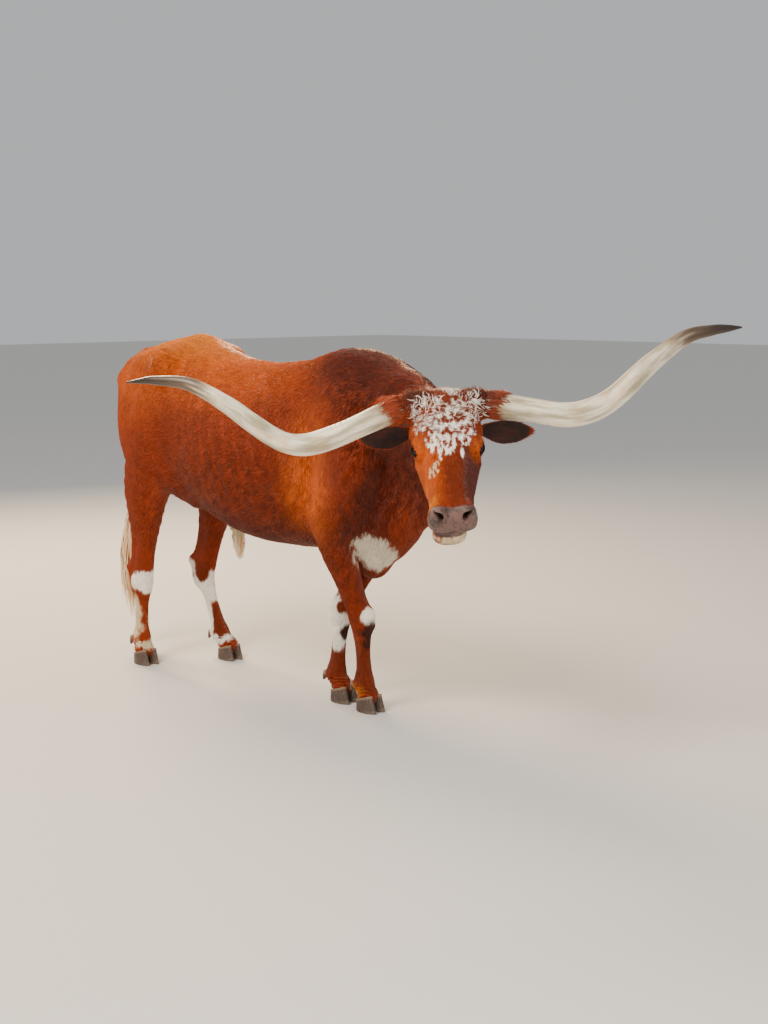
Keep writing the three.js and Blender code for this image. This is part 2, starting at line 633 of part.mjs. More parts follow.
// A claw: rings from the sole up, each a D in plan, set back and smaller as they rise
function clawSolid(towards) {
  const g = new THREE.CylinderGeometry(1, 1, 1, CLAW_SIDES, 2).rotateX(Math.PI / 2);
  const place = g.attributes.position;
  for (let i = 0; i < place.count; i++) {
    const [x, y, z] = [place.getX(i), place.getY(i), place.getZ(i)];
    const up = z + 0.5;
    const length = (CLAW_LENGTH / 2) * (x < 0 ? 0.94 - 0.1 * up : 1.16 - 0.66 * up);
    const flat = y * towards < 0 ? 0.95 : 1;
    const half = (CLAW_WIDTH / 2) * flat * (1 - 0.1 * up) * (x > 0.5 ? 1 - 0.5 * (x - 0.5) : 1);
    place.setXYZ(i, x * length, y * half, up * CLAW_HEIGHT);
  }
  return solidOfGeometry(g);
}

// Horns
const HORN_SIDES = 12;
const hornRows = {
  // forward, sideways and up from the poll, then the radius
  left: [[-14, 150, -30, 44], [-6, 192, -36, 44.5], [20, 298, -53, 44], [38, 411, -74, 43.5],
    [42, 499, -64, 43], [36, 590, -20, 41.5], [10, 718, 86, 34.5], [-25, 848, 171, 27], [-55, 946, 191, 20.5],
    [-75, 1010, 195, 14], [-92, 1062, 196, 4]],
  right: [[-14, 150, -34, 43.5], [-6, 205, -46, 43.5], [25, 338, -97, 42], [36, 420, -124, 41],
    [43, 490, -138, 39.5], [45, 552, -130, 38], [41, 612, -100, 36.5], [33, 685, -46, 34], [15, 763, 14, 31],
    [-20, 889, 86, 25], [-60, 1016, 104, 17], [-80, 1075, 103, 10.5], [-96, 1124, 100, 3.5]],
};

function hornSolid(sideName) {
  const side = SIDES[sideName];
  const rows = smoothRows(hornRows[sideName].map(([f, l, u, r]) => [f, l * side, u, r]), 2);
  const g = new THREE.CylinderGeometry(1, 1, 1, HORN_SIDES, rows.length - 1).rotateX(Math.PI / 2);
  const place = g.attributes.position;
  const centres = rows.map((r) => new THREE.Vector3(r[0], r[1], r[2]).applyMatrix4(pollFrame));
  for (let i = 0; i < place.count; i++) {
    const n = Math.round((0.5 - place.getZ(i)) * (rows.length - 1));
    const before = centres[Math.max(n - 1, 0)];
    const after = centres[Math.min(n + 1, rows.length - 1)];
    const along = after.clone().sub(before).normalize();
    const sideways = new THREE.Vector3(1, 0, 0).cross(along).normalize();
    const upwards = sideways.clone().cross(along);
    const r = rows[n][3];
    const p = centres[n].clone()
      .addScaledVector(sideways, place.getX(i) * r)
      .addScaledVector(upwards, place.getY(i) * r);
    place.setXYZ(i, p.x, p.y, p.z);
  }
  return solidOfGeometry(g);
}

const hornRootPlane = (sideName, offset) => {
  const side = SIDES[sideName];
  const point = new THREE.Vector3(-8, 196 * side, -40).applyMatrix4(pollFrame).toArray();
  const normal = new THREE.Vector3(0.2, side, -0.2).transformDirection(pollFrame).toArray();
  return halfSpace(point, normal, offset);
};

// Ears: a flattened ball, bent across into a cup
const EAR_ROOT = [-40, 112, -116]; // from the poll, for the left ear
const EAR_DIRECTION = [-0.1, 1, -0.12];
const EAR_FACING = [0.9, 0, -0.28];
const EAR_NARROW = 0.42; // width at the root, of the widest
const EAR_CUP = 26; // the rims stand this far in front of the middle
const EAR_DROOP = 10; // the tip bends this far back
const EAR_HALF_THICK = [5, 15]; // towards the tip and at the root

function earSolid(sideName, grow = 0) {
  const side = SIDES[sideName];
  const inHead = ([x, y, z]) => new THREE.Vector3(x, y * side, z);
  const g = new THREE.SphereGeometry(1, 14, 9).rotateX(Math.PI / 2);
  const place = g.attributes.position;
  const root = inHead(EAR_ROOT).applyMatrix4(pollFrame);
  const along = inHead(EAR_DIRECTION).transformDirection(pollFrame);
  const facing = inHead(EAR_FACING).transformDirection(pollFrame);
  const across = facing.clone().cross(along).normalize();
  facing.copy(along).cross(across).normalize();
  for (let i = 0; i < place.count; i++) {
    const [x, y, z] = [place.getX(i), place.getY(i), place.getZ(i)];
    const t = (x + 1) / 2;
    const swell = Math.sin(Math.PI * Math.min(1, 0.12 + 0.8 * t));
    const width = (EAR_WIDTH / 2) * (EAR_NARROW + (1 - EAR_NARROW) * swell);
    const cup = EAR_CUP * y * y * (1 - 0.6 * t);
    const thick = EAR_HALF_THICK[0] + (EAR_HALF_THICK[1] - EAR_HALF_THICK[0]) * (1 - t) ** 3;
    const p = root.clone()
      .addScaledVector(along, t * EAR_LENGTH + x * grow)
      .addScaledVector(across, y * (width + grow))
      .addScaledVector(facing, cup + z * (thick + grow) - EAR_DROOP * t * t);
    place.setXYZ(i, p.x, p.y, p.z);
  }
  return solidOfGeometry(g);
}

// Head with sockets, lids, nostrils and mouth
const eyeCentre = (sideName) => mirrored(EYE_AT, SIDES[sideName]);

function lidOutline(grow) {
  const [half, high, low] = [18 + grow, 10 + grow, 8 + grow];
  const outline = new THREE.Shape();
  outline.moveTo(-half, 0);
  outline.quadraticCurveTo(-half * 0.3, high * 1.6, half * 0.35, high);
  outline.quadraticCurveTo(half * 0.8, high * 0.6, half, -2);
  outline.quadraticCurveTo(half * 0.2, -low * 1.7, -half, 0);
  return outline;
}

// The frame that looks out of an eye: X along the lids towards the nose, Z outwards
function eyeFrame(sideName) {
  const side = SIDES[sideName];
  const out = new THREE.Vector3(0.28, side, 0.3).normalize();
  const along = new THREE.Vector3(1, 0, 0).addScaledVector(out, -out.x).normalize();
  const up = out.clone().cross(along);
  if (up.z < 0) up.negate();
  const frame = new THREE.Matrix4().makeBasis(along, up, out);
  if (frame.determinant() < 0) frame.makeBasis(along.negate(), up, out);
  return headFrame.clone()
    .multiply(new THREE.Matrix4().makeTranslation(...eyeCentre(sideName)))
    .multiply(frame);
}

function cutEye(head, sideName) {
  const frame = eyeFrame(sideName);
  const lids = solidOfGeometry(new THREE.SphereGeometry(EYE_RADIUS + LID_THICK, 16, 10), frame);
  const socket = solidOfGeometry(new THREE.SphereGeometry(EYE_RADIUS + GAP, ...EYE_MESH), frame);
  const sizes = { depth: 60, bevelEnabled: false, curveSegments: 5 };
  const opening = new THREE.ExtrudeGeometry(lidOutline(0), sizes);
  return head.add(lids).subtract(socket).subtract(solidOfGeometry(opening, frame));
}

// The line of the mouth, in the head's own frame
const MOUTH_W = -138;
const MOUTH_HIGH = 4;
const MOUTH_CORNER_U = 352;
const MOUTH_FRONT_U = 508; // how far forward the closed lips reach behind the line
const MOUTH_HALF = 42;
const MUZZLE_FRONT_U = 560;
const MUZZLE_HALF = 90;

function mouthCutter() {
  const groove = new THREE.Shape();
  groove.moveTo(MOUTH_CORNER_U, -MUZZLE_HALF);
  groove.lineTo(MUZZLE_FRONT_U, -MUZZLE_HALF);
  groove.lineTo(MUZZLE_FRONT_U, MUZZLE_HALF);
  groove.lineTo(MOUTH_CORNER_U, MUZZLE_HALF);
  groove.lineTo(MOUTH_CORNER_U, MOUTH_HALF - 2);
  groove.lineTo(460, MOUTH_HALF);
  groove.quadraticCurveTo(MOUTH_FRONT_U - 4, MOUTH_HALF - 2, MOUTH_FRONT_U, 0);
  groove.quadraticCurveTo(MOUTH_FRONT_U - 4, 2 - MOUTH_HALF, 460, -MOUTH_HALF);
  groove.lineTo(MOUTH_CORNER_U, 2 - MOUTH_HALF);
  const sizes = { depth: MOUTH_HIGH, bevelEnabled: false, curveSegments: 6 };
  const solid = new THREE.ExtrudeGeometry(groove, sizes);
  const height = new THREE.Matrix4().makeTranslation(0, 0, MOUTH_W);
  return solidOfGeometry(solid, headFrame.clone().multiply(height));
}

const NOSTRIL_AT = [520, 41, -58]; // the left one
const NOSTRIL_RADII = [20, 16, 8];
const NOSTRIL_ROLL = 0.75;
const NOSTRIL_YAW = -0.35;

// A nostril is a slanting hollow
function nostrilCutter(side) {
  const g = new THREE.SphereGeometry(1, 12, 8);
  const place = headFrame.clone()
    .multiply(new THREE.Matrix4().makeTranslation(...mirrored(NOSTRIL_AT, side)))
    .multiply(new THREE.Matrix4().makeRotationX(NOSTRIL_ROLL * side))
    .multiply(new THREE.Matrix4().makeRotationZ(NOSTRIL_YAW * side))
    .multiply(new THREE.Matrix4().makeScale(...NOSTRIL_RADII));
  return solidOfGeometry(g, place);
}

const MUZZLE_BACK_U = 330;
const HEAD_BOX = [[-90, -260, -300], [580, 260, 60]];

function head() {
  // The grid lies in the head's own frame, so that its rows run along the face
  const inHead = (p) => {
    if (p[0] > MUZZLE_BACK_U) return meltAll(headLocal, p);
    const world = new THREE.Vector3(...p).applyMatrix4(headFrame).toArray();
    return meltAll([neckTube, dewlap, headAsOne], world) / HEAD_SIZE;
  };
  const local = surfaceNet(inHead, ...HEAD_BOX, HEAD_CELL);
  let flesh = local.transform(headFrame.elements).intersect(headZone(-GAP / 2));
  for (const sideName of ["left", "right"]) {
    flesh = flesh.subtract(hornRootPlane(sideName, -GAP));
    flesh = cutEye(flesh, sideName);
    flesh = flesh.subtract(nostrilCutter(SIDES[sideName]));
    flesh = flesh.subtract(earSolid(sideName, GAP));
  }
  flesh = flesh.subtract(mouthCutter());
  addNode("head", flesh, faceHide);
  for (const sideName of ["left", "right"]) {
    addNode("horn_" + sideName, hornSolid(sideName).intersect(hornRootPlane(sideName, 0)), hornKeratin);
    const eye = solidOfGeometry(new THREE.SphereGeometry(EYE_RADIUS, ...EYE_MESH), eyeFrame(sideName));
    addNode("eye_" + sideName, eye, eyeball);
    addNode("ear_" + sideName, earSolid(sideName), earHide);
  }
}

// Tail, its switch of long hair, and the tuft under the sheath
const TAIL_ROWS = [[-738, 0, 1392, 36, 42], [-800, 0, 1386, 35, 38], [-858, 0, 1358, 31, 32],
  [-902, 0, 1285, 25, 26], [-922, 0, 1150, 20, 20], [-928, -4, 950, 17, 17], [-930, -8, 760, 15, 15],
  [-930, -10, 640, 13, 13]];
const TAIL_SIDES = 10;
const SWITCH_TOP_Z = 700;

// Long hair: the rows of its outline from the root to the tips, and tiers of [locks, start, end] as shares
// of its height. `wide` is a lock's half-width and `thick` its half-thickness
const SWITCH = {
  rows: [[-930, -9, 740, 15, 15], [-931, -10, 600, 40, 42], [-934, -10, 470, 60, 66],
    [-936, -10, 330, 60, 66], [-938, -10, 210, 42, 46], [-940, -10, 112, 8, 8]],
  tiers: [[4, 0.08, 0.62], [4, 0.24, 0.84], [4, 0.4, 1]],
  wide: 34,
  thick: 6,
  seed: 7,
};
const SHEATH_TUFT = {
  rows: [[-178, 0, 668, 16, 16], [-170, 0, 625, 32, 26], [-164, 0, 572, 30, 24], [-160, 0, 516, 8, 8]],
  tiers: [[2, 0.2, 0.8], [3, 0.36, 1]],
  wide: 18,
  thick: 5,
  seed: 3,
};
const CORE_SIDES = 6;
const LOCK_SIDES = 4;
const LOCK_STEPS = 3;
const LOCK_TIP = 0.03; // of the lock's width

// A round solid along rows of [x, y, z, half-depth, half-width]
function sweep(rows, around, grow = 0, steps = 3) {
  const fine = smoothRows(rows, steps);
  const g = new THREE.CylinderGeometry(1, 1, 1, around, fine.length - 1).rotateX(Math.PI / 2);
  const place = g.attributes.position;
  for (let i = 0; i < place.count; i++) {
    const n = Math.round((0.5 - place.getZ(i)) * (fine.length - 1));
    const centreOf = (row) => new THREE.Vector3(...fine[row].slice(0, 3));
    const centre = centreOf(n);
    const along = centreOf(Math.min(n + 1, fine.length - 1)).sub(centreOf(Math.max(n - 1, 0))).normalize();
    const sideways = new THREE.Vector3(0, 1, 0).cross(along).normalize();
    const upwards = sideways.clone().cross(along);
    if (n === 0) centre.addScaledVector(along, -grow);
    const p = centre
      .addScaledVector(sideways, place.getX(i) * (fine[n][3] + grow))
      .addScaledVector(upwards, place.getY(i) * (fine[n][4] + grow));
    place.setXYZ(i, p.x, p.y, p.z);
  }
  return solidOfGeometry(g);
}

function tailSolid(grow = 0) {
  return sweep(TAIL_ROWS, TAIL_SIDES, grow);
}

// Repeatable numbers from 0 to 1
function seededRandom(seed) {
  let state = seed;
  return () => {
    state = (state * 1664525 + 1013904223) % 4294967296;
    return state / 4294967296;
  };
}

// The outline's row at a share of the way from root to tips
function rowAt(rows, share) {
  const place = Math.min(share, 0.9999) * (rows.length - 1);
  const i = Math.floor(place);
  return mixed(rows[i], rows[i + 1], place - i);
}

// The core is thin, and ends half way to the tips
function hairCore(hair, grow = 0) {
  const rows = [0, 0.18, 0.34, 0.5].map((share) => {
    const [x, y, z, a, b] = rowAt(hair.rows, share);
    const slim = share === 0 ? 1 : 0.62 - share * 0.7;
    return [x, y, z, a * slim, b * slim];
  });
  return sweep(rows, CORE_SIDES, grow, 1);
}

// A lock starts in the core, swings out to the outline, hangs along it and ends in a fine tip
function lockSolid(hair, start, end, angle, reach, bend) {
  const g = new THREE.CylinderGeometry(1, 1, 1, LOCK_SIDES, LOCK_STEPS).rotateX(Math.PI / 2);
  const place = g.attributes.position;
  for (let i = 0; i < place.count; i++) {
    const t = 0.5 - place.getZ(i);
    const row = rowAt(hair.rows, start + (end - start) * t);
    const out = Math.sin((Math.min(t * 2.2, 1) * Math.PI) / 2) * reach;
    const turned = angle + bend * t * t;
    const [c, s] = [Math.cos(turned), Math.sin(turned)];
    const swell = 0.4 + 0.6 * Math.sin((Math.min(t * 2, 1) * Math.PI) / 2);
    const taper = swell * (1 - t ** 3) + LOCK_TIP;
    const [wide, thick] = [place.getX(i) * hair.wide * taper, place.getY(i) * hair.thick * taper];
    const [a, b] = [row[3] * out + thick, row[4] * out + thick];
    place.setXYZ(i, row[0] + a * c + wide * s, row[1] + b * s - wide * c, row[2]);
  }
  return solidOfGeometry(g);
}

function hairSolid(hair) {
  const random = seededRandom(hair.seed);
  let solid = hairCore(hair);
  hair.tiers.forEach(([count, start, end], tier) => {
    for (let i = 0; i < count; i++) {
      const angle = ((i + 0.5 * (tier % 2) + 0.3 * (random() - 0.5)) / count) * 2 * Math.PI;
      const reach = 0.9 - 0.1 * random();
      const bend = 0.6 * (random() - 0.5);
      const tip = end - 0.1 * random() * (end < 1 ? 1 : 0.6);
      solid = solid.add(lockSolid(hair, start + 0.05 * random(), tip, angle, reach, bend));
    }
  });
  return solid;
}

function tail() {
  const below = (z) => boxSolid([-CLEAR, -CLEAR, -CLEAR], [CLEAR, CLEAR, z]);
  addNode("tail", tailSolid().subtract(below(SWITCH_TOP_Z + GAP)), redHide);
  addNode("tail_switch", hairSolid(SWITCH).intersect(below(SWITCH_TOP_Z)), paleHair);
  addNode("sheath_tuft", hairSolid(SHEATH_TUFT), paleHair);
}

torso();
neck();
legs();
head();
tail();

export default animal;
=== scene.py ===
# %% [markdown]
# A Texas longhorn steer, life size, as a museum would show it: red-brown coat, white stockings with brown
# patches, a roan forehead, cream tail switch and long ivory horns with dark tips. It stands still and
# looks to its right. The solids of the frame give every size. Here one skin takes the place of the flesh
# solids, with a coat of small mesh tufts on it, and the horns, hooves and eyes get finer surfaces.

# %% The frame
import math

import bpy
import numpy as np
from mathutils import Matrix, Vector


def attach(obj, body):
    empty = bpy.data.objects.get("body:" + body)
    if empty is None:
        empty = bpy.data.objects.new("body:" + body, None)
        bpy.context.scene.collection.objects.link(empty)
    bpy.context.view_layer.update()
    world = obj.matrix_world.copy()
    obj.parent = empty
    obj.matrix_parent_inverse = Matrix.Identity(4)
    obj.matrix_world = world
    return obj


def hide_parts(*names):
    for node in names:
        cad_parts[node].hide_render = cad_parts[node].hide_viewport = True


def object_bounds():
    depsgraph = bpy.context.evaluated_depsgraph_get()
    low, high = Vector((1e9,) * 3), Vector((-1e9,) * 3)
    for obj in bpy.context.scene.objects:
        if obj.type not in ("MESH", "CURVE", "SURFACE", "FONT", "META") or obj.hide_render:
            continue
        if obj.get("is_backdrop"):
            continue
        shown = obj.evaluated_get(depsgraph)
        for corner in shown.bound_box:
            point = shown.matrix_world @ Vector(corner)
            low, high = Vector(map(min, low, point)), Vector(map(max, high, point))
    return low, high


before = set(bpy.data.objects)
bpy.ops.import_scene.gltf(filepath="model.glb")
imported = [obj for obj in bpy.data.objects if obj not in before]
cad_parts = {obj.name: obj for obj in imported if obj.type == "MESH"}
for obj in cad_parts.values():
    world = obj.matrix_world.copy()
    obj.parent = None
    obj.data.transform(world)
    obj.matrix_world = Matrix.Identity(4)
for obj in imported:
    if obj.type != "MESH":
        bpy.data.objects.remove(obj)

CAD_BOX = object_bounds()
BODY = "root"
print("frame:", len(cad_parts), "nodes")

# %% [markdown]
# The camera comes first. Its place was worked out from where the hooves, the back and the horns lie in
# the photograph: about 5.9 m from the animal, at a standing person's eye, tilted down by 8 degrees.

# %% Camera
PHOTO_SIZE = (768, 1024)
CAMERA_AT = (4.458, -3.958, 1.668)
CAMERA_HEADING = math.radians(135.25)
CAMERA_TILT = math.radians(8.14)
FOCAL_PIXELS = 1529.3

camera_data = bpy.data.cameras.new("camera")
camera_data.sensor_width = 36.0
camera_data.lens = camera_data.sensor_width * FOCAL_PIXELS / max(PHOTO_SIZE)
camera = bpy.data.objects.new("camera", camera_data)
camera.location = CAMERA_AT
camera.rotation_euler = (math.pi / 2 - CAMERA_TILT, 0, CAMERA_HEADING - math.pi / 2)
bpy.context.scene.collection.objects.link(camera)
bpy.context.scene.camera = camera
print("camera:", round(camera_data.lens, 2), "mm lens")

# %% [markdown]
# A mesh here is always arrays: places in metres, triangles, and sometimes values that ride on the
# vertices. One function turns them into an object that sits at the origin and rides on the frame's body.

# %% Meshes from arrays
MM = 0.001


def add_mesh(name, points, triangles, materials, slot, smooth=True, attributes=None, uv=None):
    """Points in metres (n, 3) and triangles (m, 3) become an object. Attributes are arrays on the vertices,
    uv an array on the triangles' corners."""
    mesh = bpy.data.meshes.new(name)
    mesh.vertices.add(len(points))
    mesh.vertices.foreach_set("co", np.ascontiguousarray(points, dtype=np.float32).ravel())
    mesh.loops.add(3 * len(triangles))
    mesh.loops.foreach_set("vertex_index", np.ascontiguousarray(triangles, dtype=np.int32).ravel())
    mesh.polygons.add(len(triangles))
    mesh.polygons.foreach_set("loop_start", np.arange(0, 3 * len(triangles), 3, dtype=np.int32))
    for material in materials:
        mesh.materials.append(material)
    mesh.update(calc_edges=True)
    mesh.polygons.foreach_set("use_smooth", np.full(len(triangles), smooth))
    for key, values in (attributes or {}).items():
        kind = "FLOAT" if values.ndim == 1 else "FLOAT_VECTOR"
        layer = mesh.attributes.new(key, kind, "POINT")
        layer.data.foreach_set("value" if kind == "FLOAT" else "vector", values.astype(np.float32).ravel())
    if uv is not None:
        layer = mesh.uv_layers.new(name="OFBake")
        layer.data.foreach_set("uv", uv.astype(np.float32).ravel())
    made = bpy.data.objects.new(name, mesh)
    bpy.context.scene.collection.objects.link(made)
    if slot:
        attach(made, BODY)
    print(name, len(triangles), "triangles")
    return made


def grid_triangles(rows, columns, closed=True):
    """Two triangles for each square of a grid of rows and columns, wrapping round the columns if closed.
    Faces point outwards when the columns run anticlockwise as seen from the far end of the rows."""
    r, c = np.meshgrid(np.arange(rows - 1), np.arange(columns if closed else columns - 1), indexing="ij")
    here, beside = r * columns + c, r * columns + (c + 1) % columns
    over, across = here + columns, beside + columns
    squares = np.stack([here, beside, across, here, across, over], -1)
    return squares.reshape(-1, 3)


def with_ends(values):
    """Values on a tube's rings in the order of its points: each ring, then the mean of the first and last."""
    return np.concatenate([values.reshape(-1, *values.shape[2:]), values[:1].mean(1), values[-1:].mean(1)])


def closed_tube(rings):
    """Rings (rows, columns, 3) become points and triangles, with a point at each end to close the tube."""
    rows, columns = rings.shape[:2]
    points = with_ends(rings)
    around = np.arange(columns)
    beside = (around + 1) % columns
    first = np.stack([beside, around, np.full(columns, rows * columns)], -1)
    last = np.stack([around, beside, np.full(columns, 0)], -1) + (rows - 1) * columns
    last[:, 2] = rows * columns + 1
    return points, np.vstack([grid_triangles(rows, columns), first, last])


def join(parts):
    """Several (points, triangles) become one, each part with triangles of its own points."""
    starts = np.cumsum([0] + [len(points) for points, _ in parts[:-1]])
    return (np.vstack([points for points, _ in parts]),
            np.vstack([triangles + start for start, (_, triangles) in zip(starts, parts)]))


# %% [markdown]
# The flesh of the animal is one smooth field, in millimetres in the animal's own frame: each form (a
# ball, a bent tube, the trunk with its profile) says how far a point is from it, and the distances melt
# into each other. The same forms shaped the frame's solids, so the skin follows them by itself.

# %% Sizes shared by all forms
SHIFT = np.array([-494.8, 224.8, 0.0])
POLL = np.array([1300.0, -264.0, 1305.0])
HEAD_YAW = math.radians(-45)
HEAD_ROLL = math.radians(2.6)
HEAD_PITCH = math.radians(35)
HEAD_SIZE = 1.04
CHEW = 11.0
EYE_RADIUS = 20.0
EYE_AT = np.array([207.0, 99.0, -50.0])  # the eye solids are at 203, 104, -50
SIDES = {"left": 1, "right": -1}


def turned(axis, angle):
    """A rotation about X, Y or Z (0, 1, 2), as a 3 by 3 matrix."""
    c, s = math.cos(angle), math.sin(angle)
    m = np.eye(3)
    i, j = [(1, 2), (2, 0), (0, 1)][axis]
    m[i, i] = m[j, j] = c
    m[i, j], m[j, i] = -s, s
    return m


POLL_TURN = turned(2, HEAD_YAW) @ turned(0, HEAD_ROLL)
HEAD_TURN = POLL_TURN @ turned(1, HEAD_PITCH)


def to_head(points):
    """World millimetres to the head's own frame: +X from poll to nose, +Y left, +Z out of the face."""
    return (points - POLL) @ HEAD_TURN / HEAD_SIZE


def from_head(points):
    """The head's own frame to world millimetres."""
    return points * HEAD_SIZE @ HEAD_TURN.T + POLL


def placed(points):
    """The animal's own millimetres to the frame's metres."""
    return (points + SHIFT) * MM


# %% Forms and their distances
def smooth_rows(rows, steps):
    """A Catmull-Rom curve through rows of numbers: each new row is a cubic blend of the four round it."""
    rows = np.asarray(rows, float)
    padded = np.vstack([rows[:1], rows, rows[-1:]])
    t = (np.arange(steps) / steps)[None, :, None]
    a, b, c, d = (padded[i:len(rows) - 1 + i, None, :] for i in range(4))
    fine = b + 0.5 * t * (c - a + t * (2 * a - 5 * b + 4 * c - d + t * (3 * (b - c) + d - a)))
    return np.vstack([fine.reshape(-1, rows.shape[1]), rows[-1:]])


def form(distance, k, points, reach):
    """A form with its distance, its melt width and the box that holds it."""
    points = np.asarray(points, float)[:, :3]
    return {"distance": distance, "k": k, "low": points.min(0) - reach, "high": points.max(0) + reach}


def ball(centre, radii, k, pitch=0.0):
    """An ellipsoid: the distance is the length to the centre, less that length scaled to the surface."""
    centre, radii, turn = np.asarray(centre, float), np.asarray(radii, float), turned(1, pitch)

    def distance(p):
        q = (p - centre) @ turn
        length = np.linalg.norm(q, axis=1)
        ratio = np.maximum(np.linalg.norm(q / radii, axis=1), 1e-6)
        return length - length / ratio

    return form(distance, k, [centre], radii.max())


def tube(rows, k, across=(0, 1, 0), steps=3):
    """A bent tube of rows [x, y, z, half-width along across, half-width the other way]: the least of the
    distances to the elliptical cones between neighbouring rows."""
    fine = smooth_rows(rows, steps)
    a, b = fine[:-1], fine[1:]
    along = b[:, :3] - a[:, :3]
    size = (along ** 2).sum(1)
    unit = along / np.sqrt(size)[:, None]
    side = np.asarray(across, float) - unit * (unit @ np.asarray(across, float))[:, None]
    side /= np.linalg.norm(side, axis=1)[:, None]

    def distance(p):
        best = np.full(len(p), 1e9)
        for i in range(len(a)):
            q = p - a[i, :3]
            t = np.clip(q @ along[i] / size[i], 0, 1)
            q = q - t[:, None] * along[i]
            sideways = q @ side[i]
            length2 = (q * q).sum(1)
            wide = a[i, 3] + (b[i, 3] - a[i, 3]) * t
            high = a[i, 4] + (b[i, 4] - a[i, 4]) * t
            other2 = np.maximum(length2 - sideways ** 2, 0)
            ratio = np.maximum(np.sqrt((sideways / wide) ** 2 + other2 / high ** 2), 1e-6)
            length = np.sqrt(length2)
            np.minimum(best, length - length / ratio, out=best)
        return best

    return form(distance, k, rows, np.asarray(rows, float)[:, 3:].max())


# %% The trunk
TRUNK = np.array([
    # x, top, bottom, half-width
    [-845, 1290, 1070, 55], [-800, 1372, 985, 128], [-700, 1432, 900, 182], [-560, 1464, 845, 215],
    [-420, 1479, 800, 240], [-280, 1444, 758, 258], [-100, 1396, 688, 292], [100, 1382, 645, 304],
    [300, 1396, 640, 292], [470, 1422, 645, 258], [610, 1440, 652, 226], [740, 1422, 660, 194],
    [840, 1380, 690, 150], [915, 1310, 760, 90]], float)
WIDEST = 0.45
ROUND_ABOVE = 2.05
ROUND_BELOW = 2.5


def trunk_sizes(x):
    """Top, bottom and half-width at x, on cubic curves through the trunk's rows."""
    first, last = TRUNK[np.maximum(np.arange(len(TRUNK)) - 1, 0)], np.vstack([TRUNK[1:], TRUNK[-1:]])
    slopes = (last[:, 1:] - first[:, 1:]) / (last[:, :1] - first[:, :1])
    i = np.clip(np.searchsorted(TRUNK[:, 0], x) - 1, 0, len(TRUNK) - 2)
    span = (TRUNK[i + 1, 0] - TRUNK[i, 0])[:, None]
    t = np.clip((x - TRUNK[i, 0]) / span[:, 0], 0, 1)[:, None]
    t2, t3 = t * t, t ** 3
    sizes = ((2 * t3 - 3 * t2 + 1) * TRUNK[i, 1:] + (t3 - 2 * t2 + t) * span * slopes[i]
             + (3 * t2 - 2 * t3) * TRUNK[i + 1, 1:] + (t3 - t2) * span * slopes[i + 1])
    return sizes.T


def trunk_distance(p):
    """In the plane across the trunk, an egg of two half superellipses. Past its ends, the distance to
    them."""
    top, bottom, half = trunk_sizes(p[:, 0])
    middle = bottom + WIDEST * (top - bottom)
    y, z = p[:, 1], p[:, 2] - middle
    tall = np.where(z > 0, top - middle, middle - bottom)
    n = np.where(z > 0, ROUND_ABOVE, ROUND_BELOW)
    ratio = np.maximum((np.abs(y / half) ** n + np.abs(z / tall) ** n) ** (1 / n), 1e-6)
    length = np.hypot(y, z)
    flat = length - length / ratio
    past = np.maximum(np.maximum(TRUNK[0, 0] - p[:, 0], p[:, 0] - TRUNK[-1, 0]), 0)
    return np.where(past > 0, np.hypot(np.maximum(flat, 0), past) + np.minimum(flat, 0), flat)


trunk = form(trunk_distance, 60, [[-845, 0, 650], [915, 0, 1480]], 306)


# %% Quarters, brisket, neck
def quarters(s):
    """Hip, rump, thigh and shoulder of one side."""
    return [
        tube([[-395, 40 * s, 1412, 52, 70], [-412, 125 * s, 1392, 48, 66], [-418, 178 * s, 1362, 42, 56]], 60,
             (0, 0, 1)),
        tube([[-418, 178 * s, 1360, 46, 46], [-620, 142 * s, 1346, 50, 50],
              [-805, 98 * s, 1278, 52, 58]], 90),
        ball([-585, 142 * s, 1075], [215, 96, 300], 90, -0.12),
        tube([[600, 96 * s, 1340, 46, 92], [668, 160 * s, 1200, 68, 130], [748, 182 * s, 1030, 72, 104]], 80),
        tube([[752, 182 * s, 1030, 72, 100], [690, 182 * s, 900, 74, 108], [632, 172 * s, 790, 66, 92]], 70),
    ]


brisket = ball([670, 0, 686], [112, 80, 142], 80)
flank_folds = [tube([[-430, 196 * s, 880, 26, 60], [-330, 200 * s, 838, 22, 44],
                     [-215, 196 * s, 800, 20, 34]], 70)
               for s in (1, -1)]
sheath = tube([[-260, 0, 735, 36, 34], [-190, 0, 680, 34, 34], [-160, 0, 640, 26, 26]], 45)
neck_tube = tube([[560, 0, 1128, 168, 298], [740, -8, 1148, 150, 262], [880, -42, 1172, 128, 222],
                  [1010, -88, 1176, 110, 166], [1130, -150, 1192, 94, 128], [1222, -196, 1214, 86, 112]], 80)
dewlap = tube([[1165, -160, 1120, 46, 62], [1060, -95, 995, 42, 92], [964, -52, 885, 42, 100],
               [876, -32, 822, 46, 98], [785, -10, 745, 56, 92]], 70)
TAIL_ROWS = [[-738, 0, 1392, 36, 42], [-800, 0, 1386, 35, 38], [-858, 0, 1358, 31, 32],
             [-902, 0, 1285, 25, 26], [-922, 0, 1150, 20, 20], [-928, -4, 950, 17, 17],
             [-930, -8, 760, 15, 15], [-930, -10, 640, 13, 13]]
tail = tube([[x, y, z, wide, deep] for x, y, z, deep, wide in TAIL_ROWS], 14)
body_forms = [trunk, *quarters(1), *quarters(-1), brisket, *flank_folds, sheath, neck_tube, dewlap]

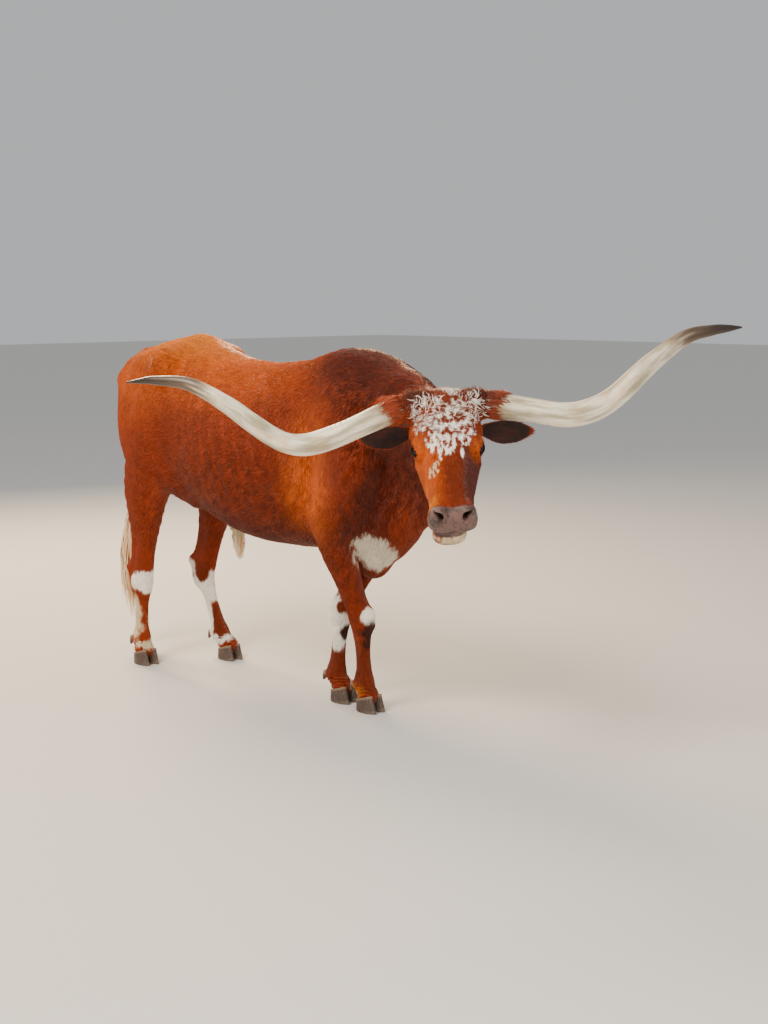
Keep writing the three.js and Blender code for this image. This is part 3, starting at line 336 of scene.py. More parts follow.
# %% Legs
LEGS = {
    "foreleg_right": dict(top=[622, -172, 800], elbow=[612, -150, 700], knee=[656, -50, 388],
                          fetlock=[636, -14, 118], foot=[657, -4, 0]),
    "foreleg_left": dict(top=[590, 172, 800], elbow=[562, 150, 700], knee=[442, 44, 380],
                         fetlock=[430, 26, 118], foot=[474, 24, 0]),
    "hindleg_right": dict(top=[-560, -165, 930], stifle=[-596, -172, 800], hock=[-655, -165, 376],
                          fetlock=[-668, -164, 120], foot=[-640, -165, 0]),
    "hindleg_left": dict(top=[-520, 165, 930], stifle=[-512, 172, 800], hock=[-628, 166, 372],
                         fetlock=[-508, 162, 120], foot=[-440, 162, 0]),
}
PASTERN_Z = 62


def between(a, b, t):
    """The place a share t of the way from a to b."""
    return [u + (v - u) * t for u, v in zip(a, b)]


def moved(a, step):
    """A place moved by a step."""
    return [u + v for u, v in zip(a, step)]


def limb(name):
    """One leg: a tube through its joints with the thickness of each, and the bones that show at them."""
    leg = LEGS[name]
    joint = leg.get("knee") or leg["hock"]
    over = leg.get("elbow") or leg["stifle"]
    foot = [leg["foot"][0] - 10, leg["foot"][1], PASTERN_Z]
    fetlock = leg["fetlock"]
    if "knee" in leg:
        rows = [leg["top"] + [70, 100], over + [60, 84], between(joint, over, 0.6) + [51, 65],
                between(joint, over, 0.25) + [45, 53], joint + [50, 54],
                between(joint, fetlock, 0.25) + [36, 42],
                between(joint, fetlock, 0.5) + [29, 34], between(joint, fetlock, 0.78) + [31, 36]]
        bones = [ball(moved(joint, [16, 0, -8]), [38, 44, 54], 24)]
    else:
        rows = [leg["top"] + [92, 165], over + [80, 126], between(joint, over, 0.62) + [56, 84],
                between(joint, over, 0.3) + [43, 64], joint + [45, 62],
                between(joint, fetlock, 0.2) + [36, 46],
                between(joint, fetlock, 0.42) + [28, 36], between(joint, fetlock, 0.78) + [30, 36]]
        point = moved(joint, [-76, 0, 56])
        bones = [tube([point + [20, 22], moved(joint, [-50, 0, -6]) + [22, 26]], 26),
                 tube([between(joint, over, 0.62) + [26, 26], moved(joint, [-76, 0, 62]) + [12, 15]], 34)]
    rows += [fetlock + [41, 45], between(fetlock, foot, 0.5) + [37, 39], foot + [43, 43]]
    return [tube(rows, 18), *bones, ball(moved(fetlock, [-32, 0, -8]), [20, 30, 24], 18)]


limbs = {name: limb(name) for name in LEGS}


# %% Head forms, in the head's own frame
def head_forms():
    """Skull, jaw, poll, forehead, cheeks, brows, horn bosses and muzzle."""
    forms = [
        tube([[-20, 0, -84, 78, 74], [50, 0, -78, 100, 82], [130, 0, -74, 106, 80], [205, 0, -74, 102, 76],
              [285, 0, -80, 89, 66], [355, 0, -88, 79, 60], [415, 0, -94, 73, 56],
              [462, 0, -98, 68, 52]], 40),
        tube([[20, 0, -168, 56, 74], [110, 0, -172, 62, 80], [210, 0, -164, 56, 68], [310, 0, -152, 48, 50],
              [400, -CHEW / 2, -150, 42, 42], [468, -CHEW, -158, 44, 36]], 40),
        tube([[2, -100, -30, 46, 50], [0, 0, -24, 48, 46], [2, 100, -30, 46, 50]], 40, (1, 0, 0)),
        ball([120, 0, -18], [130, 80, 26], 40),
    ]
    for s in (1, -1):
        forms += [
            ball([108, 60 * s, -148], [88, 36, 78], 36),
            ball([203, 94 * s, -46], [48, 27, 35], 24),
            tube([[222, 90 * s, -98, 15, 15], [305, 71 * s, -110, 13, 13], [365, 62 * s, -116, 10, 10]], 26),
            tube([[4, 100 * s, -32, 46, 48], [-6, 196 * s, -40, 44, 44]], 30, (1, 0, 0)),
            ball([478, 30 * s, -92], [42, 46, 50], 22),
            ball([486, 36 * s, -112], [34, 42, 30], 16),
            ball([484, 16 * s - CHEW, -168], [36, 40, 34], 16),
            ball([498, 46 * s, -62], [23, 27, 23], 14),
            ball([66, 98 * s, -96], [36, 26, 32], 24),
        ]
    return forms


HEAD_FORMS = head_forms()
HEAD_REACH = 680


def melt_all(forms, p, reach=1e9):
    """Smooth union: the lesser of two distances, rounded where they are within k of each other. A form is
    left out where its box is further than its k and the reach."""
    d = np.full(len(p), 1000.0)
    for f in forms:
        away = np.maximum(np.maximum(f["low"] - p, p - f["high"]).max(1), 0)
        near = np.flatnonzero((away <= f["k"] + 40) | (away <= np.minimum(d, reach)))
        if len(near) == 0:
            continue
        other = f["distance"](p[near])
        h = np.maximum(f["k"] - np.abs(d[near] - other), 0) / f["k"]
        d[near] = np.minimum(d[near], other) - h * h * f["k"] / 4
    return d


def head_distance(p):
    """The head's forms, measured in their own frame."""
    return melt_all(HEAD_FORMS, to_head(p), 150) * HEAD_SIZE


head = form(head_distance, 60, [POLL], HEAD_REACH)
GROUPS = {"body": [*body_forms, tail], **limbs, "head": [head]}
EVERYTHING = [f for forms in GROUPS.values() for f in forms]
print("forms:", len(EVERYTHING) + len(HEAD_FORMS))

# %% [markdown]
# The skin. A surface net puts one point in every grid cell that the field's surface crosses, and a square
# round every grid edge that it crosses. A coarse grid first finds where the surface runs, so that the
# field is worked out finely only there. Then the points slide along the field's slope onto the surface.

# %% The field on a grid
SKIN_CELL = 13.5
COARSE = 4
COAT_DEPTH = 3.5
FIELD_LOW = np.array([-980.0, -760.0, 2.0])
FIELD_HIGH = np.array([1740.0, 400.0, 1540.0])


def field_values(low, counts, cell):
    """The field at each corner of a grid: exact within reach of the surface, and roughly right elsewhere."""
    coarse_counts = [-(-n // COARSE) + 1 for n in counts]
    axes = [low[i] + np.arange(n) * cell * COARSE for i, n in enumerate(coarse_counts)]
    places = np.stack(np.meshgrid(*axes, indexing="ij"), -1).reshape(-1, 3)
    coarse = melt_all(EVERYTHING, places, 400).reshape(coarse_counts)
    rough = np.repeat(np.repeat(np.repeat(coarse, COARSE, 0), COARSE, 1), COARSE, 2)
    rough = rough[:counts[0], :counts[1], :counts[2]].copy()
    close = np.argwhere(np.abs(rough) < cell * COARSE * 1.8)
    rough[tuple(close.T)] = melt_all(EVERYTHING, low + close * cell, 100)
    return rough + COAT_DEPTH


def part_diagonals(values):
    """Where opposite corners of a grid square are inside and the others outside, four faces would share an
    edge, so the inner corner nearest the surface is put just outside."""
    for u, w in ((0, 1), (1, 2), (2, 0)):
        cut = lambda a, b: tuple(slice(1, None) if (n == u and a) or (n == w and b) else
                                 slice(None, -1) if n in (u, w) else slice(None) for n in range(3))
        corners = [cut(0, 0), cut(1, 0), cut(1, 1), cut(0, 1)]
        v = [values[c] for c in corners]
        for m, n, k, j in ((0, 2, 1, 3), (1, 3, 0, 2)):
            odd = (v[m] < 0) & (v[n] < 0) & (v[k] >= 0) & (v[j] >= 0)
            first = odd & (v[m] > v[n])
            v[m][first] = 0.1
            v[n][odd & ~first] = 0.1


def surface_net(values, low, cell):
    """Points and triangles of the surface where the values pass through zero."""
    inside = values < 0
    cells = tuple(n - 1 for n in values.shape)
    corner = lambda grid, a, b, c: grid[a:cells[0] + a, b:cells[1] + b, c:cells[2] + c]
    offsets = [(a, b, c) for a in (0, 1) for b in (0, 1) for c in (0, 1)]
    total = sum(corner(inside, *o).astype(np.int8) for o in offsets)
    active = np.argwhere((total > 0) & (total < 8))
    at = {o: values[tuple((active + o).T)] for o in offsets}
    sums, crossings = np.zeros((len(active), 3)), np.zeros(len(active))
    for m in offsets:
        for n in offsets:
            if sum(n) - sum(m) != 1 or sum(abs(i - j) for i, j in zip(m, n)) != 1:
                continue
            crossed = (at[m] < 0) != (at[n] < 0)
            t = np.where(crossed, at[m] / np.where(crossed, at[m] - at[n], 1), 0)
            step = np.array(m) + (np.array(n) - np.array(m)) * t[:, None]
            sums += step * crossed[:, None]
            crossings += crossed
    points = low + (active + sums / crossings[:, None]) * cell
    index = np.full(cells, -1)
    index[tuple(active.T)] = np.arange(len(active))
    squares = []
    for axis, (u, w) in enumerate(((1, 2), (2, 0), (0, 1))):
        step = np.zeros(3, int)
        step[axis] = 1
        here = inside[tuple(slice(0, n - s) for n, s in zip(values.shape, step))]
        there = inside[tuple(slice(s, None) for s in step)]
        edges = np.argwhere(here != there)
        edges = edges[(edges[:, u] > 0) & (edges[:, w] > 0)]
        around = []
        for a, b in ((-1, -1), (0, -1), (0, 0), (-1, 0)):
            shifted = edges.copy()
            shifted[:, u] += a
            shifted[:, w] += b
            around.append(index[tuple(shifted.T)])
        around = np.stack(around, 1)
        outward = here[tuple(edges.T)]
        around[~outward] = around[~outward][:, ::-1]
        squares.append(around)
    squares = np.vstack(squares)
    a, b, c, d = squares.T
    short = np.linalg.norm(points[a] - points[c], axis=1) < np.linalg.norm(points[b] - points[d], axis=1)
    one = np.where(short[:, None], np.stack([a, b, c], 1), np.stack([a, b, d], 1))
    two = np.where(short[:, None], np.stack([a, c, d], 1), np.stack([b, c, d], 1))
    return points, np.vstack([one, two])


# %% Points onto the surface
def slope_at(p, step=1.0):
    """The field's value and its slope, by small steps forward along each axis."""
    d = melt_all(EVERYTHING, p, 60)
    ahead = [melt_all(EVERYTHING, p + step * np.eye(3)[i], 60) for i in range(3)]
    return d, (np.stack(ahead, 1) - d[:, None]) / step


def onto_skin(p, rounds=2):
    """Newton's steps: each point moves along the slope by the distance that is left."""
    normal = None
    for _ in range(rounds):
        d, slope = slope_at(p)
        steep = np.maximum((slope * slope).sum(1), 0.2)
        p = p - np.clip((d + COAT_DEPTH) / steep, -9, 9)[:, None] * slope
        normal = slope / np.maximum(np.linalg.norm(slope, axis=1), 1e-6)[:, None]
    return p, normal


def edges_of(triangles):
    """The edges of a mesh, once each, and for each triangle its three edges' numbers."""
    pairs = np.sort(np.vstack([triangles[:, [0, 1]], triangles[:, [1, 2]], triangles[:, [2, 0]]]), axis=1)
    edges, number = np.unique(pairs, axis=0, return_inverse=True)
    return edges, number.reshape(3, -1).T


def relaxed(points, triangles, share=0.5):
    """Each point moves part of the way to the middle of its neighbours."""
    edges, _ = edges_of(triangles)
    total, count = np.zeros_like(points), np.zeros(len(points))
    for a, b in ((0, 1), (1, 0)):
        for axis in range(3):
            total[:, axis] += np.bincount(edges[:, a], points[edges[:, b], axis], len(points))
        count += np.bincount(edges[:, a], minlength=len(points))
    return points + share * (total / np.maximum(count, 1)[:, None] - points)


def refined(points, triangles, chosen):
    """Splits each edge whose two ends are chosen, and cuts each triangle into two, three or four to match."""
    edges, number = edges_of(triangles)
    split = chosen[edges].all(1)
    middle = np.full(len(edges), -1)
    middle[split] = len(points) + np.arange(split.sum())
    points = np.vstack([points, points[edges[split]].mean(1)])
    m = middle[number]
    count = (m >= 0).sum(1)
    out = [triangles[count == 0]]
    for turn in range(3):
        order = [turn, (turn + 1) % 3, (turn + 2) % 3]
        t, e = triangles[:, order], m[:, order]
        one = (count == 1) & (e[:, 0] >= 0)
        a, b, c, ab = *t[one].T, e[one, 0]
        out += [np.stack([a, ab, c], 1), np.stack([ab, b, c], 1)]
        two = (count == 2) & (e[:, 2] < 0)
        a, b, c, ab, bc = *t[two].T, e[two, 0], e[two, 1]
        out += [np.stack([a, ab, bc], 1), np.stack([ab, b, bc], 1), np.stack([a, bc, c], 1)]
    whole = count == 3
    a, b, c, ab, bc, ca = *triangles[whole].T, *m[whole].T
    out += [np.stack(t, 1) for t in ((a, ab, ca), (ab, b, bc), (ca, bc, c), (ab, bc, ca))]
    return points, np.vstack(out)


# %% The skin's first mesh
counts = np.ceil((FIELD_HIGH - FIELD_LOW) / SKIN_CELL).astype(int) + 1
values = field_values(FIELD_LOW, counts, SKIN_CELL)
for _ in range(3):
    part_diagonals(values)
skin_points, skin_triangles = surface_net(values, FIELD_LOW, SKIN_CELL)
print("net:", len(skin_points), "points and", len(skin_triangles), "triangles")
skin_points, skin_normals = onto_skin(skin_points)
for _ in range(2):
    skin_points, skin_normals = onto_skin(relaxed(skin_points, skin_triangles), 1)
print("skin:", len(skin_triangles), "triangles before refining")

# %% [markdown]
# The head and the legs need more points than the barrel. Refining splits the chosen edges in nested
# regions: legs and tail once, the head twice, and the rims of the eyes, nostrils and mouth once more.

# %% Finer where the form is finer
MOUTH_W = -136.0
MOUTH_CORNER_U = 352.0
NOSTRIL_AT = np.array([520.0, 46.0, -60.0])


def eye_axes(side):
    """Along the lids towards the nose, up, and out of the eye, in the head's own frame."""
    out = np.array([1.6, side, 0.55])
    out /= np.linalg.norm(out)
    along = np.array([1.0, 0, 0]) - out[0] * out
    along /= np.linalg.norm(along)
    up = np.cross(out, along)
    return along, up * np.sign(up[2]), out


def near_eye(h, reach):
    """Points of the head within reach of an eye's middle."""
    return np.minimum(*(np.linalg.norm(h - EYE_AT * [1, s, 1], axis=1) for s in (1, -1))) < reach


def near_nostril(h, reach):
    """Points of the head within reach of a nostril."""
    return np.minimum(*(np.linalg.norm(h - NOSTRIL_AT * [1, s, 1], axis=1) for s in (1, -1))) < reach


def refine_where(choose):
    """Refines the skin's triangles between chosen points and draws the new points onto the surface."""
    global skin_points, skin_triangles, skin_normals
    known = len(skin_points)
    skin_points, skin_triangles = refined(skin_points, skin_triangles, choose(skin_points))
    fresh, fresh_normals = onto_skin(skin_points[known:])
    skin_points[known:] = fresh
    skin_normals = np.vstack([skin_normals, fresh_normals])


def on_head_or_legs(p):
    h = to_head(p)
    head_zone = (h[:, 0] > -60) & (np.abs(h[:, 1]) < 240) & (h[:, 2] > -270) & (h[:, 2] < 80)
    legs_zone = (p[:, 2] < 500) | ((p[:, 0] < -870) & (p[:, 2] < 1330))
    return head_zone | legs_zone


def on_face(p):
    h = to_head(p)
    return ((h[:, 0] > 395) | near_eye(h, 62)) & (h[:, 0] > 60) & (h[:, 2] > -230)


def on_rims(p):
    h = to_head(p)
    mouth = (np.abs(h[:, 2] - MOUTH_W) < 12) & (h[:, 0] > MOUTH_CORNER_U - 10)
    return near_eye(h, 34) | near_nostril(h, 36) | mouth


for choose in (on_head_or_legs, on_face, on_rims):
    refine_where(choose)
print("skin:", len(skin_triangles), "triangles after refining")

# %% [markdown]
# What a plain melt of forms lacks is anatomy: ribs, the edge of the loin, the hollow of the flank, the
# blade of the shoulder, tendons, folds of loose skin. Each is a low swelling or a shallow groove, added
# along the skin's normal by a bell curve of the distance to a point or to a line.

# %% Swellings and grooves
def swelling(p, centre, radii, height):
    """A bell-shaped rise: height times e to the minus of the squared distance in radii."""
    q = (p - np.asarray(centre, float)) / np.asarray(radii, float)
    return height * np.exp(-(q * q).sum(1))


def ridge(p, a, b, width, height):
    """The same bell curve of the distance to the line from a to b."""
    a, along = np.asarray(a, float), np.asarray(b, float) - np.asarray(a, float)
    t = np.clip((p - a) @ along / (along @ along), 0, 1)
    q = p - a - t[:, None] * along
    return height * np.exp(-(q * q).sum(1) / width ** 2)


def ramp(x, low, high):
    """0 below low, 1 above high, and a smooth S between."""
    t = np.clip((x - low) / (high - low), 0, 1)
    return t * t * (3 - 2 * t)


def window(x, low, high, soft):
    """1 between low and high, fading to 0 over the soft width outside."""
    return ramp(x, low - soft, low) * (1 - ramp(x, high, high + soft))


def lattice_noise(p, size, seed):
    """Smooth noise from -1 to 1: random values at the corners of a lattice, blended inside each cell."""
    rng = np.random.default_rng(seed)
    table = rng.uniform(-1, 1, 4096)
    q = p / size
    cell = np.floor(q).astype(np.int64)
    t = q - cell
    t = t * t * (3 - 2 * t)
    total = np.zeros(len(p))
    for corner in np.ndindex(2, 2, 2):
        c = cell + corner
        weight = np.prod(np.where(corner, t, 1 - t), axis=1)
        total += weight * table[(c[:, 0] * 73 + c[:, 1] * 1291 + c[:, 2] * 179) % 4096]
    return total


def body_relief(p):
    """How far the trunk and neck stand out from the plain forms."""
    x, y, z = p.T
    rise = np.zeros(len(p))
    side = np.abs(y)
    rib_zone = window(x, -150, 400, 90) * window(z, 880, 1270, 90)
    rise += 2.0 * rib_zone * np.sin((x + 0.32 * (z - 1000)) * 2 * math.pi / 78)
    for s in (1, -1):
        rise += swelling(p, [-420, 205 * s, 1388], [62, 45, 42], 8)
        rise += swelling(p, [-815, 105 * s, 1292], [45, 45, 50], 7)
        rise += swelling(p, [-285, 240 * s, 1295], [95, 80, 70], -15)
        rise += ridge(p, [-400, 170 * s, 1392], [-90, 175 * s, 1350], 30, 5)
        rise += ridge(p, [655, 120 * s, 1365], [742, 205 * s, 1060], 30, 8)
        rise += ridge(p, [545, 175 * s, 1330], [560, 245 * s, 860], 34, -10)
        rise += ridge(p, [800, 150 * s, 1250], [830, 150 * s, 1040], 30, -6)
        rise += swelling(p, [800, 195 * s, 965], [55, 55, 60], 10)
        rise += swelling(p, [640, 225 * s, 880], [80, 60, 95], 8)
        rise += swelling(p, [600, 165 * s, 712], [34, 45, 34], 7)
        rise += ridge(p, [-575, 215 * s, 1330], [-700, 205 * s, 880], 26, -6)
        rise += swelling(p, [-470, 220 * s, 850], [52, 50, 60], 8)
        rise += ridge(p, [-250, 230 * s, 830], [-420, 215 * s, 930], 30, -7)
        rise += swelling(p, [-812, 58 * s, 1352], [40, 26, 36], -9)
        rise += ridge(p, [1120, -150 + 62 * s, 1115], [850, -35 + 110 * s, 960], 20, -7)
        rise += ridge(p, [1130, -160 + 80 * s, 1230], [830, -30 + 150 * s, 1170], 40, 4)
    rise += swelling(p, [-620, 0, 1462], [240, 24, 40], 6)
    spine = window(x, -380, 560, 60) * np.exp(-(y / 26) ** 2) * ramp(z, 1300, 1380)
    rise += spine * (3 + 1.2 * np.sin(x * 2 * math.pi / 62))
    loose = window(x, 800, 1150, 60) * (1 - ramp(z, 1040, 1140)) * ramp(z, 700, 800)
    rise += 3.2 * loose * np.sin((x * 0.86 - z * 0.5 + 9 * np.sin(z / 60)) * 2 * math.pi / 52)
    throat = window(x, 1020, 1220, 40) * window(z, 1040, 1180, 40)
    rise += 1.8 * throat * np.sin((x - 0.3 * z) * 2 * math.pi / 30)
    rise += 1.3 * lattice_noise(p, 60.0, 3) + 0.5 * lattice_noise(p, 24.0, 4)
    return rise * ramp(z, 560, 660)


def leg_relief(p):
    """Bones, tendons and hollows of the four legs."""
    rise = np.zeros(len(p))
    low = np.flatnonzero(p[:, 2] < 900)
    q = p[low]
    part = np.zeros(len(q))
    for name, leg in LEGS.items():
        joint = leg.get("knee") or leg["hock"]
        over = leg.get("elbow") or leg["stifle"]
        fetlock = leg["fetlock"]
        for s in (1, -1):
            part += ridge(q, moved(joint, [-16, 32 * s, -70]), moved(fetlock, [-16, 30 * s, 55]), 10, -4)
            part += swelling(q, moved(fetlock, [-6, 40 * s, 0]), [22, 14, 22], 3)
            if "knee" in leg:
                part += swelling(q, moved(joint, [30, 30 * s, 26]), [20, 18, 20], 4)
                part += swelling(q, moved(joint, [22, 34 * s, -34]), [18, 16, 18], 3)
            else:
                part += ridge(q, moved(joint, [-26, 38 * s, 52]),
                              moved(between(joint, over, 0.5), [-8, 44 * s, 0]), 20, -9)
                part += swelling(q, moved(joint, [12, 46 * s, 6]), [22, 16, 24], 5)
                part += swelling(q, moved(joint, [-34, 30 * s, -34]), [18, 14, 26], 3)
        if "knee" in leg:
            part += swelling(q, moved(joint, [-48, 0, -2]), [16, 20, 26], 6)
            part += swelling(q, moved(between(joint, over, 0.75), [34, 0, 0]), [28, 40, 80], 6)
            part += swelling(q, moved(joint, [40, 0, -46]), [20, 26, 12], -3)
        else:
            part += swelling(q, moved(joint, [38, 0, 28]), [20, 28, 26], -4)
            part += ridge(q, moved(joint, [-46, 0, -10]), between(joint, fetlock, 0.35), 12, 3)
        part += 1.2 * window(q[:, 2], 70, 104, 12) * np.sin(q[:, 2] * 2 * math.pi / 11)
    rise[low] = part * (1 - ramp(q[:, 2], 640, 800))
    return rise


def head_relief(h):
    """Bones, hollows, veins and wrinkles of the head, in the head's own frame."""
    u, v, w = h.T
    rise = np.zeros(len(h))
    rise += swelling(h, [165, 0, 8], [62, 42, 40], -4)
    rise += swelling(h, [10, 0, 24], [50, 60, 30], 6)
    for s in (1, -1):
        rise += swelling(h, [176, 72 * s, -6], [44, 22, 22], 5)
        rise += swelling(h, [120, 104 * s, -62], [34, 24, 22], -7)
        rise += ridge(h, [236, 100 * s, -96], [352, 76 * s, -120], 11, 4)
        rise += ridge(h, [256, 98 * s, -126], [380, 68 * s, -138], 17, -5)
        rise += swelling(h, [112, 98 * s, -168], [62, 24, 54], 5)
        rise += ridge(h, [40, 78 * s, -120], [60, 80 * s, -215], 14, -5)
        rise += ridge(h, [232, 50 * s, -6], [430, 34 * s, -50], 12, 3)
        rise += ridge(h, [250, 74 * s, -44], [420, 56 * s, -70], 16, -4)
        rise += swelling(h, [232, 98 * s, -66], [22, 14, 12], -4)
        rise += ridge(h, [262, 92 * s, -82], [372, 66 * s, -100], 4.5, 1.6)
        rise += ridge(h, [300, 84 * s, -90], [322, 70 * s, -60], 4, 1.3)
        rise += ridge(h, [MOUTH_CORNER_U - 6, 56 * s, MOUTH_W],
                      [MOUTH_CORNER_U - 30, 62 * s, MOUTH_W + 16], 6, -3)
        rise += swelling(h, [MOUTH_CORNER_U + 20, 54 * s, MOUTH_W - 22], [40, 20, 14], 2)
    brow = near_eye(h, 64) & (w > -42)
    rise += brow * 1.0 * np.sin((w + 0.25 * u) * 2 * math.pi / 9) * window(u, 165, 240, 20)
    under = near_eye(h, 60) & (w < -66)
    rise += under * 0.8 * np.sin((w - 0.1 * u) * 2 * math.pi / 8) * window(u, 190, 245, 18)
    jowl = window(u, 60, 190, 40) * window(w, -270, -205, 20)
    rise += 1.6 * jowl * np.sin((u + 0.4 * w) * 2 * math.pi / 24)
    rise += 0.6 * lattice_noise(h, 22.0, 5)
    return rise


# %% [markdown]
# The eye is a ball that sits in a socket, and the lids are skin drawn tight over it: outside an almond
# the skin bulges a few millimetres over the ball, inside it the skin drops behind the ball's surface.
# The nostril is a comma-shaped pit with a raised rim, and the mouth a groove between two rolled lips.

# %% Lids, nostrils and mouth
LID = 3.0
EYE_HALF, EYE_HIGH, EYE_LOW = 19.0, 13.5, 10.5


def almond(x, y):
    """How far inside the opening between the lids a point is, in millimetres, x towards the nose."""
    t = x / EYE_HALF
    bow = np.sqrt(np.maximum(1 - t * t, 0))
    tilt = -2.2 * t
    over = EYE_HIGH * bow * (1 - 0.18 * t) + tilt - y
    under = y - tilt + EYE_LOW * bow * (1 - 0.1 * t)
    return np.where(np.abs(t) < 1, np.minimum(over, under), -(np.abs(x) - EYE_HALF) - np.abs(y - tilt))


def shape_lids(h):
    """Moves the skin round each eye along the eye's outward axis, and says how far it is under a lid."""
    hidden = np.zeros(len(h))
    for s in (1, -1):
        along, up, out = eye_axes(s)
        q = h - EYE_AT * [1, s, 1]
        x, y, z = q @ along, q @ up, q @ out
        r = np.hypot(x, y)
        own = (r < 46) & (z > -12)
        x, y, z, r = x[own], y[own], z[own], r[own]
        ball_top = np.sqrt(np.maximum(EYE_RADIUS ** 2 - r * r, 0))
        lid_top = np.sqrt(np.maximum((EYE_RADIUS + LID) ** 2 - r * r, 0))
        lid_top = lid_top + np.where(r < EYE_RADIUS + LID, 0, -60)
        edge = almond(x, y)
        soft = 7.0
        gap = np.maximum(soft - np.abs(z - lid_top), 0) / soft
        over_ball = np.maximum(z, lid_top) + gap * gap * soft / 4
        over_ball = np.where(r < EYE_RADIUS * 0.8, np.minimum(over_ball, lid_top + 1.5), over_ball)
        crease = -1.7 * np.exp(-((edge + 7.0 + 1.2 * (y > 0)) / 1.6) ** 2) * (r < 34)
        crease += -0.9 * np.exp(-((edge + 12.5) / 1.6) ** 2) * (y < 2)
        roll = 0.9 * np.exp(-((edge + 1.6) / 1.4) ** 2)
        shown = ramp(edge, -0.2, 1.6)
        z_new = over_ball + crease + roll
        z_new = z_new * (1 - shown) + (ball_top - 5.0) * shown
        h[own] += (z_new - z)[:, None] * out
        hidden[own] = np.maximum(hidden[own], ramp(edge, -2.6, 0.2))
    return h, hidden


def shape_nostrils(h):
    """Sinks a comma-shaped pit with a raised rim at each nostril, and says how deep in it each point is."""
    hidden = np.zeros(len(h))
    for s in (1, -1):
        q = (h - NOSTRIL_AT * [1, s, 1]) * [1, s, 1]
        slit = np.array([0.0, 0.66, 0.75])
        cross = np.array([0.25, -0.72, 0.64])
        a, b = q @ slit, q @ cross
        bent = b + 0.022 * a * a - 3
        wide = 9.5 - 0.2 * a
        size = np.hypot(a / 21, bent / wide)
        near = (np.linalg.norm(q, axis=1) < 46) & (h[:, 0] > 490)
        pit = (1 - ramp(size, 0.35, 1.15)) * near
        rim = np.exp(-((size - 1.45) / 0.35) ** 2) * near
        inward = np.array([-1.0, -0.25 * s, -0.1])
        h = h + pit[:, None] * 26 * inward + rim[:, None] * 2.8 * np.array([0.7, 0.5 * s, 0.4])
        hidden = np.maximum(hidden, ramp(pit, 0.12, 0.6))
    return h, hidden


def shape_mouth(h, normals):
    """The line of the mouth, with the lips rolled on both sides of it, and the groove under the nose."""
    u, v, w = h.T
    on_muzzle = ramp(u, MOUTH_CORNER_U - 6, MOUTH_CORNER_U + 12)
    line = w - MOUTH_W - 3.0 * ramp(u, 470, 520)
    rise = -7.5 * np.exp(-(line / 2.3) ** 2) + 2.4 * np.exp(-((line - 9) / 5) ** 2)
    rise += 2.0 * np.exp(-((line + 8) / 4.5) ** 2)
    philtrum = -2.6 * np.exp(-(v / 2.6) ** 2) * window(w, -122, -72, 12) * ramp(u, 490, 515)
    return h + (rise * on_muzzle + philtrum)[:, None] * normals


def bareness(h):
    """1 on the bare muzzle and fading to 0 on the haired face."""
    u, v, w = h.T
    pad = ramp(u - 0.35 * np.abs(w + 85) + 0.1 * np.abs(v), 468, 482)
    lip = window(w, -150, -124, 6) * ramp(u, 455, 478)
    return np.maximum(pad * (w > -150), lip)


def head_share_of(h):
    """1 on the head and 0 on the neck and trunk, for points in the head's own frame."""
    share = ramp(h[:, 0], -30, 40) * (1 - ramp(np.abs(h[:, 1]), 150, 220))
    return share * window(h[:, 2], -250, 80, 30)


# %% The skin, dressed
skin_heads = to_head(skin_points)
head_share = head_share_of(skin_heads)
rise = body_relief(skin_points) * (1 - head_share) + leg_relief(skin_points)
skin_points = skin_points + rise[:, None] * skin_normals
local_normals = skin_normals @ HEAD_TURN
lifted = head_share * head_relief(skin_heads) + 1.8 * head_share
heads = to_head(skin_points) + lifted[:, None] * local_normals
bare = bareness(heads) * head_share
heads = heads + (bare * 1.2)[:, None] * local_normals
heads = shape_mouth(heads, local_normals)
heads, in_nostril = shape_nostrils(heads)
heads, under_lid = shape_lids(heads)
# where the skin lies deep in a nostril or under a lid, which the hide darkens as painted shade
deep = np.maximum(in_nostril, under_lid) * head_share
skin_points = np.where((head_share > 0)[:, None], from_head(heads), skin_points)


def normals_of(points, triangles):
    """Each point's normal: the sum of the area-weighted normals of the triangles round it, made a unit."""
    a, b, c = points[triangles].transpose(1, 0, 2)
    face = np.cross(b - a, c - a)
    total = np.stack([sum(np.bincount(triangles[:, k], face[:, axis], len(points)) for k in range(3))
                      for axis in range(3)], 1)
    return total / np.maximum(np.linalg.norm(total, axis=1), 1e-9)[:, None]


skin_normals = normals_of(skin_points, skin_triangles)
print("skin dressed:", len(skin_points), "points")

# %% [markdown]
# An ear is a thin cup of skin: rolled and narrow where it leaves the head, widest in the middle, and
# closing to a rounded tip. It is the surface of a ball laid over that cup: x runs from root to tip, y across
# and z through it. Low ridges run lengthwise inside the cup.

# %% Ears
EAR_ROOT = np.array([-40.0, 112.0, -116.0])
EAR_DIRECTION = np.array([-0.1, 1.0, -0.12])
EAR_FACING = np.array([0.9, 0.0, -0.28])
EAR_LENGTH = 205.0
EAR_WIDTH = 88.0
EAR_CUP = 26.0


